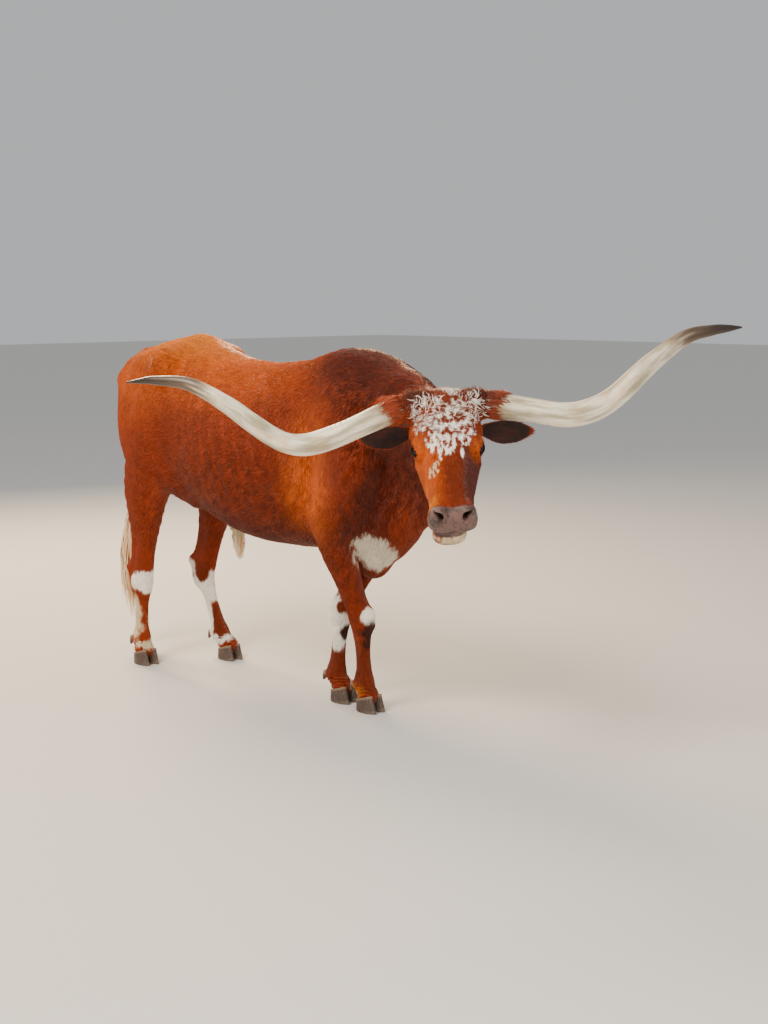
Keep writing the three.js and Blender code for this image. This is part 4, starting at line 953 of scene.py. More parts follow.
def ear(side, rows=60, columns=60):
    """A ball's points (x, y, z), put at root + along x + across y + facing (cup y squared + thickness z)."""
    along = EAR_DIRECTION * [1, side, 1]
    along = along / np.linalg.norm(along)
    across = np.cross(EAR_FACING, along)
    across /= np.linalg.norm(across)
    facing = np.cross(along, across)
    t = (0.5 - 0.5 * np.cos(np.linspace(0.03, math.pi - 0.03, rows)))[:, None]
    a = np.linspace(0, 2 * math.pi, columns, endpoint=False)[None, :]
    round_ = np.sqrt(1 - (2 * t - 1) ** 2)
    y, z = round_ * np.cos(a), round_ * np.sin(a)
    wide = EAR_WIDTH / 2 * (0.5 + 0.5 * np.sin(math.pi * np.minimum(1, 0.12 + 0.76 * t)))
    wide = wide * (1 + 0.02 * np.sin(t * 19))
    thick = 4.0 + 9.0 * (1 - t) ** 3
    inside = np.maximum(z, 0) ** 0.5
    ridges = 1.6 * inside * np.cos(y * 11) * window(t, 0.12, 0.7, 0.1) * (1 - np.abs(y))
    lift = EAR_CUP * y ** 2 * (1 - 0.6 * t) + z * thick - 10 * t ** 2 + ridges
    rings = (EAR_ROOT * [1, side, 1] + along * (EAR_LENGTH * t)[..., None] + across * (y * wide)[..., None]
             + facing * lift[..., None])
    points, triangles = closed_tube(rings)
    hollow = with_ends(inside * round_)
    return points @ POLL_TURN.T + POLL, triangles, hollow


ears = {side: ear(s) for side, s in SIDES.items()}
for points, triangles, _ in ears.values():
    middle = points.mean(0)
    a, b, c = (points[triangles] - middle).transpose(1, 0, 2)
    print("ear volume", round(float(np.einsum("ij,ij->i", a, np.cross(b, c)).sum() / 6 / 1000)), "cm3")

# %% [markdown]
# Materials. Hair is keratin with melanin: red-brown here, almost matt, with a faint sheen along its edge.
# One function adds a node with its settings and links, and one turns a hex colour to linear light.

# %% Colours and nodes
def linear(colour):
    """sRGB hex to linear: each channel c is c/12.92 below 0.04045, and ((c + 0.055)/1.055)^2.4 above."""
    c = np.array([int(colour[i:i + 2], 16) / 255 for i in (1, 3, 5)])
    c = np.where(c <= 0.04045, c / 12.92, ((c + 0.055) / 1.055) ** 2.4)
    return (*c, 1.0)


def add(tree, kind, settings=(), links=()):
    """Adds a node. A setting goes to the input of that name or number, or else to the node's own property.
    A link joins another node's output to the input."""
    made = tree.nodes.new(kind)
    for key, value in dict(settings).items():
        if isinstance(key, int) or key in made.inputs:
            made.inputs[key].default_value = value
        else:
            setattr(made, key, value)
    for key, output in dict(links).items():
        tree.links.new(output, made.inputs[key])
    return made


def new_material(name, settings=()):
    """A material with a Principled BSDF, whose constant values are set on its own sockets."""
    material = bpy.data.materials.new(name)
    material.use_nodes = True
    tree = material.node_tree
    tree.nodes.clear()
    shader = add(tree, "ShaderNodeBsdfPrincipled", settings)
    add(tree, "ShaderNodeOutputMaterial", links={"Surface": shader.outputs[0]})
    return material, tree, shader


def blended(tree, factor, first, second):
    """The first colour where the factor is 0 and the second where it is 1."""
    made = add(tree, "ShaderNodeMix", {"data_type": "RGBA"})
    for index, value in ((0, factor), (6, first), (7, second)):
        if isinstance(value, bpy.types.NodeSocket):
            tree.links.new(value, made.inputs[index])
        else:
            made.inputs[index].default_value = value
    return made.outputs[2]


def scaled(tree, value, low, high, to_low=0.0, to_high=1.0, smooth=True):
    """A value from low to high becomes one from to_low to to_high, by a smooth step or a straight line."""
    made = add(tree, "ShaderNodeMapRange", {"interpolation_type": "SMOOTHSTEP" if smooth else "LINEAR",
                                            1: low, 2: high, 3: to_low, 4: to_high}, {0: value})
    return made.outputs[0]


def combined(tree, operation, *values):
    """A Math node on sockets and numbers."""
    made = add(tree, "ShaderNodeMath", {"operation": operation})
    for index, value in enumerate(values):
        if isinstance(value, bpy.types.NodeSocket):
            tree.links.new(value, made.inputs[index])
        else:
            made.inputs[index].default_value = value
    return made.outputs[0]


# %% [markdown]
# The markings are spots and stockings of white, brown and cream. Each is an ellipsoid in the animal's own
# frame, or in the head's, with its edge made uneven by noise. Where white and red hairs grow mixed, which
# is called roan, the noise cuts the spot up into speckles. A few spots are painted light and shade instead:
# a lighter top of the back and hip, a darker belly and lower flank, a painted shadow where the neck meets
# the shoulder, and painted shade on the far side of the face. The same group colours the skin, from where
# its points are, and the coat, from where each tuft is rooted.

# %% Markings
RED = "#8f3208"
DEEP = "#501603"
DARK = "#3a1307"
ORANGE = "#bb5510"
GOLD = "#cf7a30"
WHITE = "#f6f1e8"
CREAM = "#d9c7a6"
GREY_WHITE = "#cfc6b6"
BROWN = "#74301a"
# each spot: colour, centre, radii, turn about Y in degrees, softness of its edge, raggedness from 0, a clean
# edge, to 1 and more, speckled throughout
BODY_SPOTS = [
    (DEEP, (1000, -80, 1150), (330, 190, 260), 30, 0.34, 0.5),
    (DEEP, (690, 0, 1400), (260, 260, 170), 0, 0.34, 0.5),
    # painted shade: the belly and lower flank made darker, as under a light from above
    (DEEP, (160, 0, 740), (680, 390, 350), 0, 0.42, 0.5),
    (ORANGE, (-600, 0, 1320), (260, 330, 190), 0, 0.4, 0.4),
    # painted light: this spot and the GOLD one under it make the top of the back and hip lighter, as if lit from
    # above
    (ORANGE, (-90, 0, 1350), (430, 330, 150), 0, 0.4, 0.6),
    (GOLD, (-440, 0, 1490), (330, 230, 110), 0, 0.4, 0.5),
    (ORANGE, (560, -270, 960), (110, 90, 260), 0, 0.4, 0.5),
    # painted shadow where the neck meets the shoulder
    (DEEP, (800, -150, 900), (130, 80, 190), 20, 0.34, 0.5),
    (GREY_WHITE, (768, -78, 668), (88, 84, 122), -28, 0.07, 0.3),
    (CREAM, (-182, 0, 655), (105, 60, 60), 0, 0.12, 0.5),
    (CREAM, (-560, 0, 800), (120, 60, 110), 0, 0.2, 0.6),
    # right foreleg
    (BROWN, (640, -30, 196), (80, 80, 150), 0, 0.3, 0.3),
    (WHITE, (712, -48, 410), (36, 50, 38), 0, 0.05, 0.22),
    (DARK, (704, -46, 318), (34, 46, 66), 0, 0.16, 0.4),
    (GOLD, (600, -90, 90), (60, 60, 34), 0, 0.3, 0.6),
    # left foreleg
    (BROWN, (445, 26, 170), (70, 70, 120), 0, 0.3, 0.3),
    (WHITE, (444, 8, 338), (62, 64, 120), -6, 0.05, 0.24),
    (WHITE, (418, 6, 452), (26, 44, 62), 10, 0.05, 0.24),
    (BROWN, (486, 2, 404), (30, 42, 26), 0, 0.08, 0.2),
    (DARK, (482, 36, 290), (26, 36, 36), 0, 0.1, 0.3),
    # right hindleg
    (WHITE, (-612, -168, 388), (78, 74, 52), 0, 0.05, 0.24),
    (CREAM, (-668, -168, 210), (30, 40, 190), 0, 0.12, 0.4),
    (CREAM, (-600, -168, 96), (60, 50, 24), 0, 0.12, 0.9),
    # left hindleg
    (WHITE, (-600, 160, 326), (100, 74, 84), 0, 0.05, 0.2),
    (WHITE, (-700, 166, 396), (62, 60, 46), 30, 0.06, 0.2),
    (WHITE, (-566, 156, 190), (40, 60, 190), -22, 0.05, 0.2),
    (WHITE, (-488, 152, 96), (62, 50, 30), 0, 0.06, 0.3),
    (BROWN, (-496, 158, 176), (30, 64, 92), -22, 0.06, 0.15),
    (BROWN, (-586, 118, 396), (48, 40, 56), 0, 0.06, 0.2),
]
HEAD_SPOTS = [
    (ORANGE, (290, -90, -80), (200, 60, 120), 0, 0.4, 0.4),
    # painted shade on the far, left side of the face
    (DEEP, (318, 84, -56), (190, 80, 110), 0, 0.34, 0.4),
    (DEEP, (0, 104, 10), (60, 60, 60), 0, 0.3, 0.6),
    (DEEP, (10, -80, 10), (50, 60, 60), 0, 0.3, 0.6),
    (BROWN, (380, 10, -20), (120, 26, 50), 0, 0.3, 0.5),
    (ORANGE, (214, 104, -44), (46, 40, 36), 0, 0.3, 0.4),
    (ORANGE, (214, -104, -44), (46, 40, 36), 0, 0.3, 0.4),
    (DARK, (218, 116, -42), (30, 26, 20), 0, 0.2, 0.3),
    (DARK, (218, -116, -42), (30, 26, 20), 0, 0.2, 0.3),
    (BROWN, (130, 6, 0), (116, 82, 60), 0, 0.3, 0.4),
    (WHITE, (-14, 24, 16), (34, 34, 50), 0, 0.06, 0.5),
    (WHITE, (84, -62, 0), (60, 56, 60), 0, 0.06, 1.5, 0.44),
    (WHITE, (88, 66, 0), (62, 66, 60), 0, 0.06, 1.5, 0.38),
    (WHITE, (136, 6, 0), (96, 68, 60), 0, 0.06, 1.5, 0.46),
    (WHITE, (204, -10, 0), (60, 52, 50), 0, 0.06, 1.5, 0.5),
    (WHITE, (278, -26, -8), (12, 6, 30), 0, 0.1, 1.0, 0.7),
    (WHITE, (262, 44, -10), (18, 6, 30), 0, 0.08, 1.2, 0.7),
    (CREAM, (318, -50, -30), (24, 16, 40), 0, 0.08, 1.3, 0.42),
    (CREAM, (470, 0, -168), (70, 60, 34), 0, 0.15, 0.5),
    (GOLD, (452, -64, -92), (40, 30, 60), 0, 0.25, 0.4),
]


def spot(tree, where, speckle, colour_before, colour, centre, radii, turn, soft, ragged, full=1.0):
    """Paints an ellipsoid. Its share falls in a line from full at the middle through a half at its edge,
    raggedness times the speckle noise is added near it, and a smooth step about a half gives the mask."""
    inside = add(tree, "ShaderNodeMapping", {"vector_type": "TEXTURE", "Location": centre, "Scale": radii,
                                             "Rotation": (0, math.radians(turn), 0)}, {"Vector": where})
    size = add(tree, "ShaderNodeVectorMath", {"operation": "LENGTH"}, {0: inside.outputs[0]})
    share = scaled(tree, size.outputs[1], 2 - 2 * full, 2, full, 0, smooth=False)
    near = scaled(tree, size.outputs[1], 1.0, 1.55, ragged, 0, smooth=False)
    rough = combined(tree, "MULTIPLY_ADD", speckle, near, share)
    return blended(tree, scaled(tree, rough, 0.5 - soft, 0.5 + soft), colour_before, linear(colour))


def speckles(tree, where, sizes):
    """Noise about 0 for the edges of spots, in patches of the given sizes, longest the way the hair lies."""
    stretched = add(tree, "ShaderNodeMapping", {"Scale": tuple(1 / size for size in sizes)},
                    {"Vector": where})
    noise = add(tree, "ShaderNodeTexNoise", {"Scale": 1.0, "Detail": 3.0, "Roughness": 0.6},
                {"Vector": stretched.outputs[0]})
    return scaled(tree, noise.outputs[0], 0.25, 0.75, -0.5, 0.5, smooth=False)


HEAD_ANGLES = tuple(Matrix(HEAD_TURN.tolist()).to_euler())
# The group gives the coat's markings together with the painted light and shade of some of its spots
markings_and_painted_light = bpy.data.node_groups.new("longhorn markings", "ShaderNodeTree")
markings_and_painted_light.interface.new_socket("Place", in_out="INPUT", socket_type="NodeSocketVector")
markings_and_painted_light.interface.new_socket("Color", in_out="OUTPUT", socket_type="NodeSocketColor")
entry = markings_and_painted_light.nodes.new("NodeGroupInput")
on_animal = add(markings_and_painted_light, "ShaderNodeMapping", {"Scale": (1000, 1000, 1000), "Location": tuple(-SHIFT)},
                {"Vector": entry.outputs[0]}).outputs[0]
in_head = add(markings_and_painted_light, "ShaderNodeMapping", {"vector_type": "TEXTURE", "Location": tuple(POLL),
                                              "Rotation": HEAD_ANGLES, "Scale": (HEAD_SIZE,) * 3},
              {"Vector": on_animal}).outputs[0]
body_speckle = speckles(markings_and_painted_light, on_animal, (26, 26, 43))
head_speckle = speckles(markings_and_painted_light, in_head, (24, 12, 12))
body_colour = linear(RED)
for row in BODY_SPOTS:
    body_colour = spot(markings_and_painted_light, on_animal, body_speckle, body_colour, *row)
head_colour = linear(RED)
for row in HEAD_SPOTS:
    head_colour = spot(markings_and_painted_light, in_head, head_speckle, head_colour, *row)
head_parts = add(markings_and_painted_light, "ShaderNodeSeparateXYZ", links={0: in_head}).outputs
on_head = combined(markings_and_painted_light, "MULTIPLY", scaled(markings_and_painted_light, head_parts[0], -40, 10),
                   scaled(markings_and_painted_light, head_parts[2], -270, -200))
both = blended(markings_and_painted_light, on_head, body_colour, head_colour)
broad = add(markings_and_painted_light, "ShaderNodeTexNoise", {"Scale": 1 / 170, "Detail": 2.0},
            {"Vector": on_animal}).outputs[0]
varied = add(markings_and_painted_light, "ShaderNodeHueSaturation", {"Saturation": 1.06}, {
    "Color": both, "Value": scaled(markings_and_painted_light, broad, 0.3, 0.7, 0.86, 1.14, smooth=False)})
markings_out = markings_and_painted_light.nodes.new("NodeGroupOutput")
markings_and_painted_light.links.new(varied.outputs[0], markings_out.inputs[0])
print("markings:", len(BODY_SPOTS) + len(HEAD_SPOTS), "spots")

# %% [markdown]
# Under the hair the skin shows only on the muzzle, the lids and inside the ears. The muzzle is bare, moist
# and pebbled, pinkish grey with darker freckles. Three values on the points say where the skin is bare,
# where it lies deep in a nostril or under a lid, and where it lines an ear. The last two carry painted
# shade: the nostrils and the skin under the lids are painted almost black, and the hollow of the ear a
# very dark red-brown.

# %% Hide
# Matt and leathery under the hair, and moist and shiny where it is bare
hide, tree, shader = new_material("cattle hide under short hair", {"IOR": 1.4, "Subsurface Weight": 0.0})
place = add(tree, "ShaderNodeTexCoord").outputs["Object"]
marks_and_painted_light = add(tree, "ShaderNodeGroup", {"node_tree": markings_and_painted_light}, {"Place": place}).outputs[0]
bare_mask = add(tree, "ShaderNodeAttribute", {"attribute_name": "bare"}).outputs["Fac"]
recess_shade_mask = add(tree, "ShaderNodeAttribute", {"attribute_name": "deep"}).outputs["Fac"]
ear_hollow_shade_mask = add(tree, "ShaderNodeAttribute", {"attribute_name": "ear_hollow_shade"}).outputs["Fac"]
freckles = add(tree, "ShaderNodeTexNoise", {"Scale": 95.0, "Detail": 4.0, "Roughness": 0.6},
               {"Vector": place})
patches = add(tree, "ShaderNodeTexNoise", {"Scale": 22.0, "Detail": 2.0}, {"Vector": place})
pebbles = add(tree, "ShaderNodeTexVoronoi", {"Scale": 330.0, "feature": "F1"}, {"Vector": place})
muzzle = blended(tree, scaled(tree, patches.outputs[0], 0.4, 0.62), linear("#6b504a"), linear("#41312e"))
muzzle = blended(tree, scaled(tree, freckles.outputs[0], 0.56, 0.66), muzzle, linear("#2c201e"))
# painted shade: the hollow of each ear is made a very dark red-brown
ear_hollow_shade = blended(tree, scaled(tree, patches.outputs[0], 0.35, 0.7), linear("#1a0604"), linear("#36120b"))
colour = blended(tree, bare_mask, marks_and_painted_light, muzzle)
colour = blended(tree, scaled(tree, ear_hollow_shade_mask, 0.1, 0.45), colour, ear_hollow_shade)
# painted shade: the skin deep in the nostrils and under the lids goes almost black
colour = blended(tree, recess_shade_mask, colour, linear("#170907"))
tree.links.new(colour, shader.inputs["Base Color"])
tree.links.new(scaled(tree, bare_mask, 0, 1, 0.75, 0.36, smooth=False), shader.inputs["Roughness"])
fine = add(tree, "ShaderNodeTexNoise", {"Scale": 420.0, "Detail": 3.0}, {"Vector": place}).outputs[0]
height = blended(tree, bare_mask, fine, pebbles.outputs[0])
bump = add(tree, "ShaderNodeBump", {"Strength": 0.55, "Distance": 0.0016}, {"Height": height})
tree.links.new(bump.outputs[0], shader.inputs["Normal"])

# %% The skin object
skin_parts = [(skin_points, skin_triangles)] + [(points, triangles) for points, triangles, _ in ears.values()]
all_points, all_triangles = join(skin_parts)
ear_linings = [hollow for _, _, hollow in ears.values()]
nothing = np.zeros(sum(len(hollow) for hollow in ear_linings))
skin = add_mesh("skin", placed(all_points), all_triangles, [hide], "hide", attributes={
    "bare": np.concatenate([bare, nothing]), "deep": np.concatenate([deep, nothing]),
    "ear_hollow_shade": np.concatenate([0 * bare, *ear_linings])})
FLESH = [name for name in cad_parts
         if name.startswith(("torso", "neck", "head", "ear_")) or name == "tail"
         or name.endswith(("_upper", "_lower"))]
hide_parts(*FLESH)
print("the skin replaces", len(FLESH), "nodes")

# %% [markdown]
# The eyes are dark balls with a wet film. A cow's pupil is a level oval, so the pattern follows three
# values on the points: along the lids, up, and out of the eye.

# %% Eyes
def eyeball(side, rows=40, columns=56):
    """A ball about the axis out of the eye, with a cornea that stands 1.5 mm proud of it."""
    along, up, out = eye_axes(side)
    t = np.linspace(0.02, 0.98, rows)[:, None] * math.pi
    a = np.linspace(0, 2 * math.pi, columns, endpoint=False)[None, :]
    size = EYE_RADIUS - 0.4 + 1.5 * np.exp(-(t / 0.62) ** 4)
    x, y, z = np.sin(t) * np.cos(a), np.sin(t) * np.sin(a), np.cos(t) * np.ones_like(a)
    local = np.stack([x, y, z], -1)
    points, triangles = closed_tube(local * size[..., None])
    gaze = with_ends(local)
    world = points[:, :1] * along + points[:, 1:2] * up + points[:, 2:] * out + EYE_AT * [1, side, 1]
    turn = -1 if np.linalg.det(np.stack([along, up, out])) > 0 else 1
    return from_head(world), triangles[:, ::turn], gaze


eyes = [eyeball(s) for s in SIDES.values()]
eye_points, eye_triangles = join([(points, triangles) for points, triangles, _ in eyes])
# A wet surface with a sharp highlight over a nearly black iris
eye_material, tree, shader = new_material("cornea over a dark brown iris", {
    "Roughness": 0.15, "IOR": 1.38, "Specular IOR Level": 0.3,
    "Coat Weight": 0.25, "Coat Roughness": 0.03})
gaze = add(tree, "ShaderNodeAttribute", {"attribute_name": "gaze"}).outputs["Vector"]
oval = add(tree, "ShaderNodeVectorMath", {"operation": "MULTIPLY", 1: (1.0, 1.9, 0.0)}, {0: gaze})
pupil = add(tree, "ShaderNodeVectorMath", {"operation": "LENGTH"}, {0: oval.outputs[0]}).outputs[1]
disc = add(tree, "ShaderNodeVectorMath", {"operation": "MULTIPLY", 1: (1.0, 1.0, 0.0)}, {0: gaze})
iris = add(tree, "ShaderNodeVectorMath", {"operation": "LENGTH"}, {0: disc.outputs[0]}).outputs[1]
fibres = add(tree, "ShaderNodeTexNoise", {"Scale": 9.0, "Detail": 3.0}, {"Vector": gaze}).outputs[0]
brown = blended(tree, fibres, linear("#140804"), linear("#2e160b"))
colour = blended(tree, scaled(tree, pupil, 0.40, 0.46), linear("#05060a"), brown)
colour = blended(tree, scaled(tree, iris, 0.70, 0.76), colour, linear("#1a0f0b"))
colour = blended(tree, scaled(tree, iris, 0.84, 0.97), colour, linear("#4a342c"))
tree.links.new(colour, shader.inputs["Base Color"])
eyeballs = add_mesh("eyeballs", placed(eye_points), eye_triangles, [eye_material], "eye",
                    attributes={"gaze": np.vstack([gaze for _, _, gaze in eyes])})
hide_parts("eye_left", "eye_right")

# %% [markdown]
# A horn is a bent cone of keratin. It is a tube along a smooth curve through its measured middle points,
# with slow growth rings near the skull, and three values on the points unbend it for the fibres' pattern.

# %% Horns
HORN_ROWS = {
    "left": [[-14, 150, -30, 44], [-6, 192, -36, 44.5], [20, 298, -53, 44], [38, 411, -74, 43.5],
             [42, 499, -64, 43],
             [36, 590, -20, 41.5], [10, 718, 86, 34.5], [-25, 848, 171, 27], [-55, 946, 191, 20.5],
             [-75, 1010, 195, 14], [-92, 1062, 196, 4]],
    "right": [[-14, 150, -34, 43.5], [-6, 205, -46, 43.5], [25, 338, -97, 42], [36, 420, -124, 41],
              [43, 490, -138, 39.5], [45, 552, -130, 38], [41, 612, -100, 36.5], [33, 685, -46, 34],
              [15, 763, 14, 31], [-20, 889, 86, 25], [-60, 1016, 104, 17], [-80, 1075, 103, 10.5],
              [-96, 1124, 100, 3.5]],
}


def along_curve(centres, radii, columns):
    """Rings of a tube: round each centre, a circle across the curve, turned as little as can be."""
    tangent = np.gradient(centres, axis=0)
    tangent /= np.linalg.norm(tangent, axis=1)[:, None]
    side = np.cross(tangent, [1.0, 0.0, 0.0])
    side /= np.linalg.norm(side, axis=1)[:, None]
    other = np.cross(tangent, side)
    a = np.linspace(0, 2 * math.pi, columns, endpoint=False)[None, :, None]
    circle = side[:, None] * np.cos(a) + other[:, None] * np.sin(a)
    return centres[:, None] + circle * (radii[:, None, None] if radii.ndim == 1 else radii[..., None])


def horn(side):
    """The tube along the horn's rows, with rings of growth, and its place along, and round, the horn."""
    fine = smooth_rows(HORN_ROWS[side], 22)
    centres = fine[:, :3] * [1, SIDES[side], 1]
    run = np.concatenate([[0], np.cumsum(np.linalg.norm(np.diff(centres, axis=0), axis=1))])
    columns = 56
    a = np.linspace(0, 2 * math.pi, columns, endpoint=False)
    share = run / run[-1]
    rings_ = 0.55 * np.sin(run * 2 * math.pi / 17 + 1.5 * np.sin(run / 23)) * (1 - ramp(share, 0.12, 0.42))
    swell = 1.4 * np.sin(run / 47 + 1) * (1 - ramp(share, 0.3, 0.8))
    flutes = 0.35 * np.sin(a * 9 + 1.3) * (1 - ramp(share, 0.5, 0.9))[:, None]
    radii = fine[:, 3, None] - 0.8 + (rings_ + swell)[:, None] + flutes
    radii = np.minimum(radii, fine[:, 3, None])
    rings = along_curve(centres, radii, columns)
    points, triangles = closed_tube(rings)
    mean = fine[:, 3, None]
    grain = np.stack([mean * np.cos(a), mean * np.sin(a), run[:, None] * np.ones(columns)], -1)
    grain = with_ends(grain) * MM
    part = with_ends(np.repeat(share[:, None], columns, 1))
    return points @ POLL_TURN.T + POLL, triangles, grain, part


# %% [markdown]
# Horn keratin grows in fibres along the horn. It is ivory with greenish-grey streaks, rubbed to a dull
# polish, dirty where it leaves the hair, and dark brown over its last third, first along its streaks.

# %% Horn keratin
# Horn: a thin polish over fibres drawn out along it
horn_material, tree, shader = new_material("horn keratin rubbed smooth", {"IOR": 1.55, "Coat Weight": 0.12,
                                                                       "Coat Roughness": 0.3})
grain = add(tree, "ShaderNodeAttribute", {"attribute_name": "grain"}).outputs["Vector"]
share = add(tree, "ShaderNodeAttribute", {"attribute_name": "along"}).outputs["Fac"]
drawn = add(tree, "ShaderNodeMapping", {"Scale": (150, 150, 9)}, {"Vector": grain}).outputs[0]
fibre = add(tree, "ShaderNodeTexNoise", {"Scale": 1.0, "Detail": 4.0, "Roughness": 0.6},
            {"Vector": drawn}).outputs[0]
wide = add(tree, "ShaderNodeMapping", {"Scale": (34, 34, 6)}, {"Vector": grain}).outputs[0]
streak = add(tree, "ShaderNodeTexNoise", {"Scale": 1.0, "Detail": 3.0}, {"Vector": wide}).outputs[0]
soft_patch = add(tree, "ShaderNodeTexNoise", {"Scale": 11.0, "Detail": 2.0}, {"Vector": grain}).outputs[0]
colour = blended(tree, scaled(tree, streak, 0.4, 0.66), linear("#f3e8cf"), linear("#a0987a"))
colour = blended(tree, scaled(tree, soft_patch, 0.52, 0.72, 0, 0.6), colour, linear("#d6a56c"))
colour = blended(tree, scaled(tree, fibre, 0.52, 0.75, 0, 0.45), colour, linear("#8d8064"))
dirt = combined(tree, "MULTIPLY_ADD", fibre, 0.16, share)
colour = blended(tree, scaled(tree, dirt, 0.13, 0.22, 0.75, 0), colour, linear("#8b7656"))
dark = combined(tree, "MULTIPLY_ADD", streak, 0.34, share)
dark = combined(tree, "MULTIPLY_ADD", fibre, 0.14, dark)
colour = blended(tree, scaled(tree, dark, 0.84, 1.06), colour, linear("#5a4736"))
colour = blended(tree, scaled(tree, dark, 1.02, 1.2), colour, linear("#2a1d16"))
tree.links.new(colour, shader.inputs["Base Color"])
tree.links.new(scaled(tree, fibre, 0.3, 0.7, 0.3, 0.5, smooth=False), shader.inputs["Roughness"])
height = combined(tree, "MULTIPLY_ADD", streak, 1.6, fibre)
bump = add(tree, "ShaderNodeBump", {"Strength": 0.5, "Distance": 0.0011}, {"Height": height})
tree.links.new(bump.outputs[0], shader.inputs["Normal"])

for side in SIDES:
    points, triangles, grain, part = horn(side)
    middle = points.mean(0)
    a, b, c = (points[triangles] - middle).transpose(1, 0, 2)
    volume = float(np.einsum("ij,ij->i", a, np.cross(b, c)).sum() / 6)
    if volume < 0:
        triangles = triangles[:, ::-1]
    made = add_mesh("horn_" + side + "_surface", placed(points), triangles, [horn_material], "horn",
                    attributes={"grain": grain, "along": part})
    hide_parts("horn_" + side)
    print("horn", side, round(abs(volume) / 1e6, 2), "dm3")

# %% [markdown]
# Each foot is two claws with a cleft between them, and two small dewclaws behind the fetlock. A claw is a
# wall of horn from the ground up to the coronet, where it meets the hair on a slope. Rings of growth run
# level with the coronet, and the ground edge is worn round.

# %% Hooves
CORONET_Z = 62.0
CORONET_SLOPE = 0.3
CLAW_LENGTH = 106.0
CLAW_HALF_WIDTH = 23.0
CLAW_CENTRE = 25.0
DEWCLAW_ROOT = 15.0
DEWCLAW_TIP = 6.0
DEWCLAW_LENGTH = 40.0


def claw(foot, side, rows=26, columns=44):
    """Rings from the ground to the sloping coronet: an oval whose toe runs further forward at the ground."""
    a = np.linspace(0, 2 * math.pi, columns, endpoint=False)[None, :]
    level = np.linspace(0, 1, rows)[:, None]
    front, across = np.cos(a), np.sin(a)
    inner = np.where(across * side < 0, 0.9, 1.0)

    def half_length(z):
        up = z / 100
        return CLAW_LENGTH / 2 * np.where(front < 0, 0.94 - 0.1 * up, 1.16 - 0.66 * up)

    top = np.full_like(front, CORONET_Z)
    for _ in range(3):
        top = CORONET_Z + CORONET_SLOPE * front * half_length(top)
    z = level * top
    worn = 1 - 0.10 * np.exp(-(z / 3.0) ** 2)
    wide = CLAW_HALF_WIDTH * inner * (1 - 0.1 * z / 100) * np.where(front > 0.5, 1 - 0.5 * (front - 0.5), 1)
    growth = 0.35 * np.sin((top - z) * 2 * math.pi / 6.5) + 0.3 * np.sin((top - z) * 2 * math.pi / 15 + 2)
    band = 1.2 * np.exp(-((top - z - 3) / 3.5) ** 2)
    x = foot[0] + front * (half_length(z) * worn + growth + band)
    y = foot[1] + side * CLAW_CENTRE + across * (wide * worn + growth * 0.6 + band * 0.4)
    rings = np.stack([x, y, z + 0 * x], -1)
    points, triangles = closed_tube(rings)
    below = with_ends(top - z)
    return points, triangles, below


def dewclaw(fetlock, side, rows=14, columns=20):
    """A blunt cone that leans back and down behind the fetlock."""
    lean = 0.5
    along = np.array([-math.sin(lean), 0, -math.cos(lean)])
    root = np.array([fetlock[0] - 52 + 10, fetlock[1] + 19 * side, fetlock[2] - 26 + 20])
    t = np.sqrt(np.linspace(0, 1, rows))
    centres = root + along * (DEWCLAW_LENGTH * t)[:, None]
    radii = (DEWCLAW_ROOT + (DEWCLAW_TIP - DEWCLAW_ROOT) * t) * np.sqrt(1 - (0.985 * t) ** 6)
    points, triangles = closed_tube(along_curve(centres, radii, columns))
    return points, triangles, with_ends(np.repeat((DEWCLAW_LENGTH * t)[:, None], columns, 1))


claws = []
for leg in LEGS.values():
    for s in (1, -1):
        claws.append(claw(leg["foot"], s))
        claws.append(dewclaw(leg["fetlock"], s))
claws = [(points, triangles, below) for points, triangles, below in claws]
hoof_points, hoof_triangles = join([(points, triangles) for points, triangles, _ in claws])
hoof_material, tree, shader = new_material("hoof horn, dry and ridged", {"IOR": 1.55})
place = add(tree, "ShaderNodeTexCoord").outputs["Object"]
below = add(tree, "ShaderNodeAttribute", {"attribute_name": "below"}).outputs["Fac"]
upright = add(tree, "ShaderNodeMapping", {"Scale": (330, 330, 26)}, {"Vector": place}).outputs[0]
streak = add(tree, "ShaderNodeTexNoise", {"Scale": 1.0, "Detail": 3.0}, {"Vector": upright}).outputs[0]
cloud = add(tree, "ShaderNodeTexNoise", {"Scale": 40.0, "Detail": 3.0}, {"Vector": place}).outputs[0]
level = combined(tree, "MULTIPLY", below, 1600.0)
ring = combined(tree, "SINE", combined(tree, "MULTIPLY_ADD", cloud, 2.5, level))
colour = blended(tree, scaled(tree, streak, 0.4, 0.7), linear("#2b211d"), linear("#5a463a"))
colour = blended(tree, scaled(tree, ring, 0.2, 1.0, 0, 0.35), colour, linear("#7a6452"))
colour = blended(tree, scaled(tree, below, 0.004, 0.012, 0.7, 0), colour, linear("#8a6f58"))
colour = blended(tree, scaled(tree, below, 0.05, 0.066, 0, 0.5), colour, linear("#77685a"))
tree.links.new(colour, shader.inputs["Base Color"])
tree.links.new(scaled(tree, cloud, 0.3, 0.7, 0.42, 0.68, smooth=False), shader.inputs["Roughness"])
height = combined(tree, "MULTIPLY_ADD", ring, 0.35, streak)
bump = add(tree, "ShaderNodeBump", {"Strength": 0.5, "Distance": 0.0008}, {"Height": height})
tree.links.new(bump.outputs[0], shader.inputs["Normal"])
hooves = add_mesh("hooves", placed(hoof_points), hoof_triangles, [hoof_material], "hoof",
                  attributes={"below": np.concatenate([below for _, _, below in claws]) * MM})
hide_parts(*[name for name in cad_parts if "claw" in name])

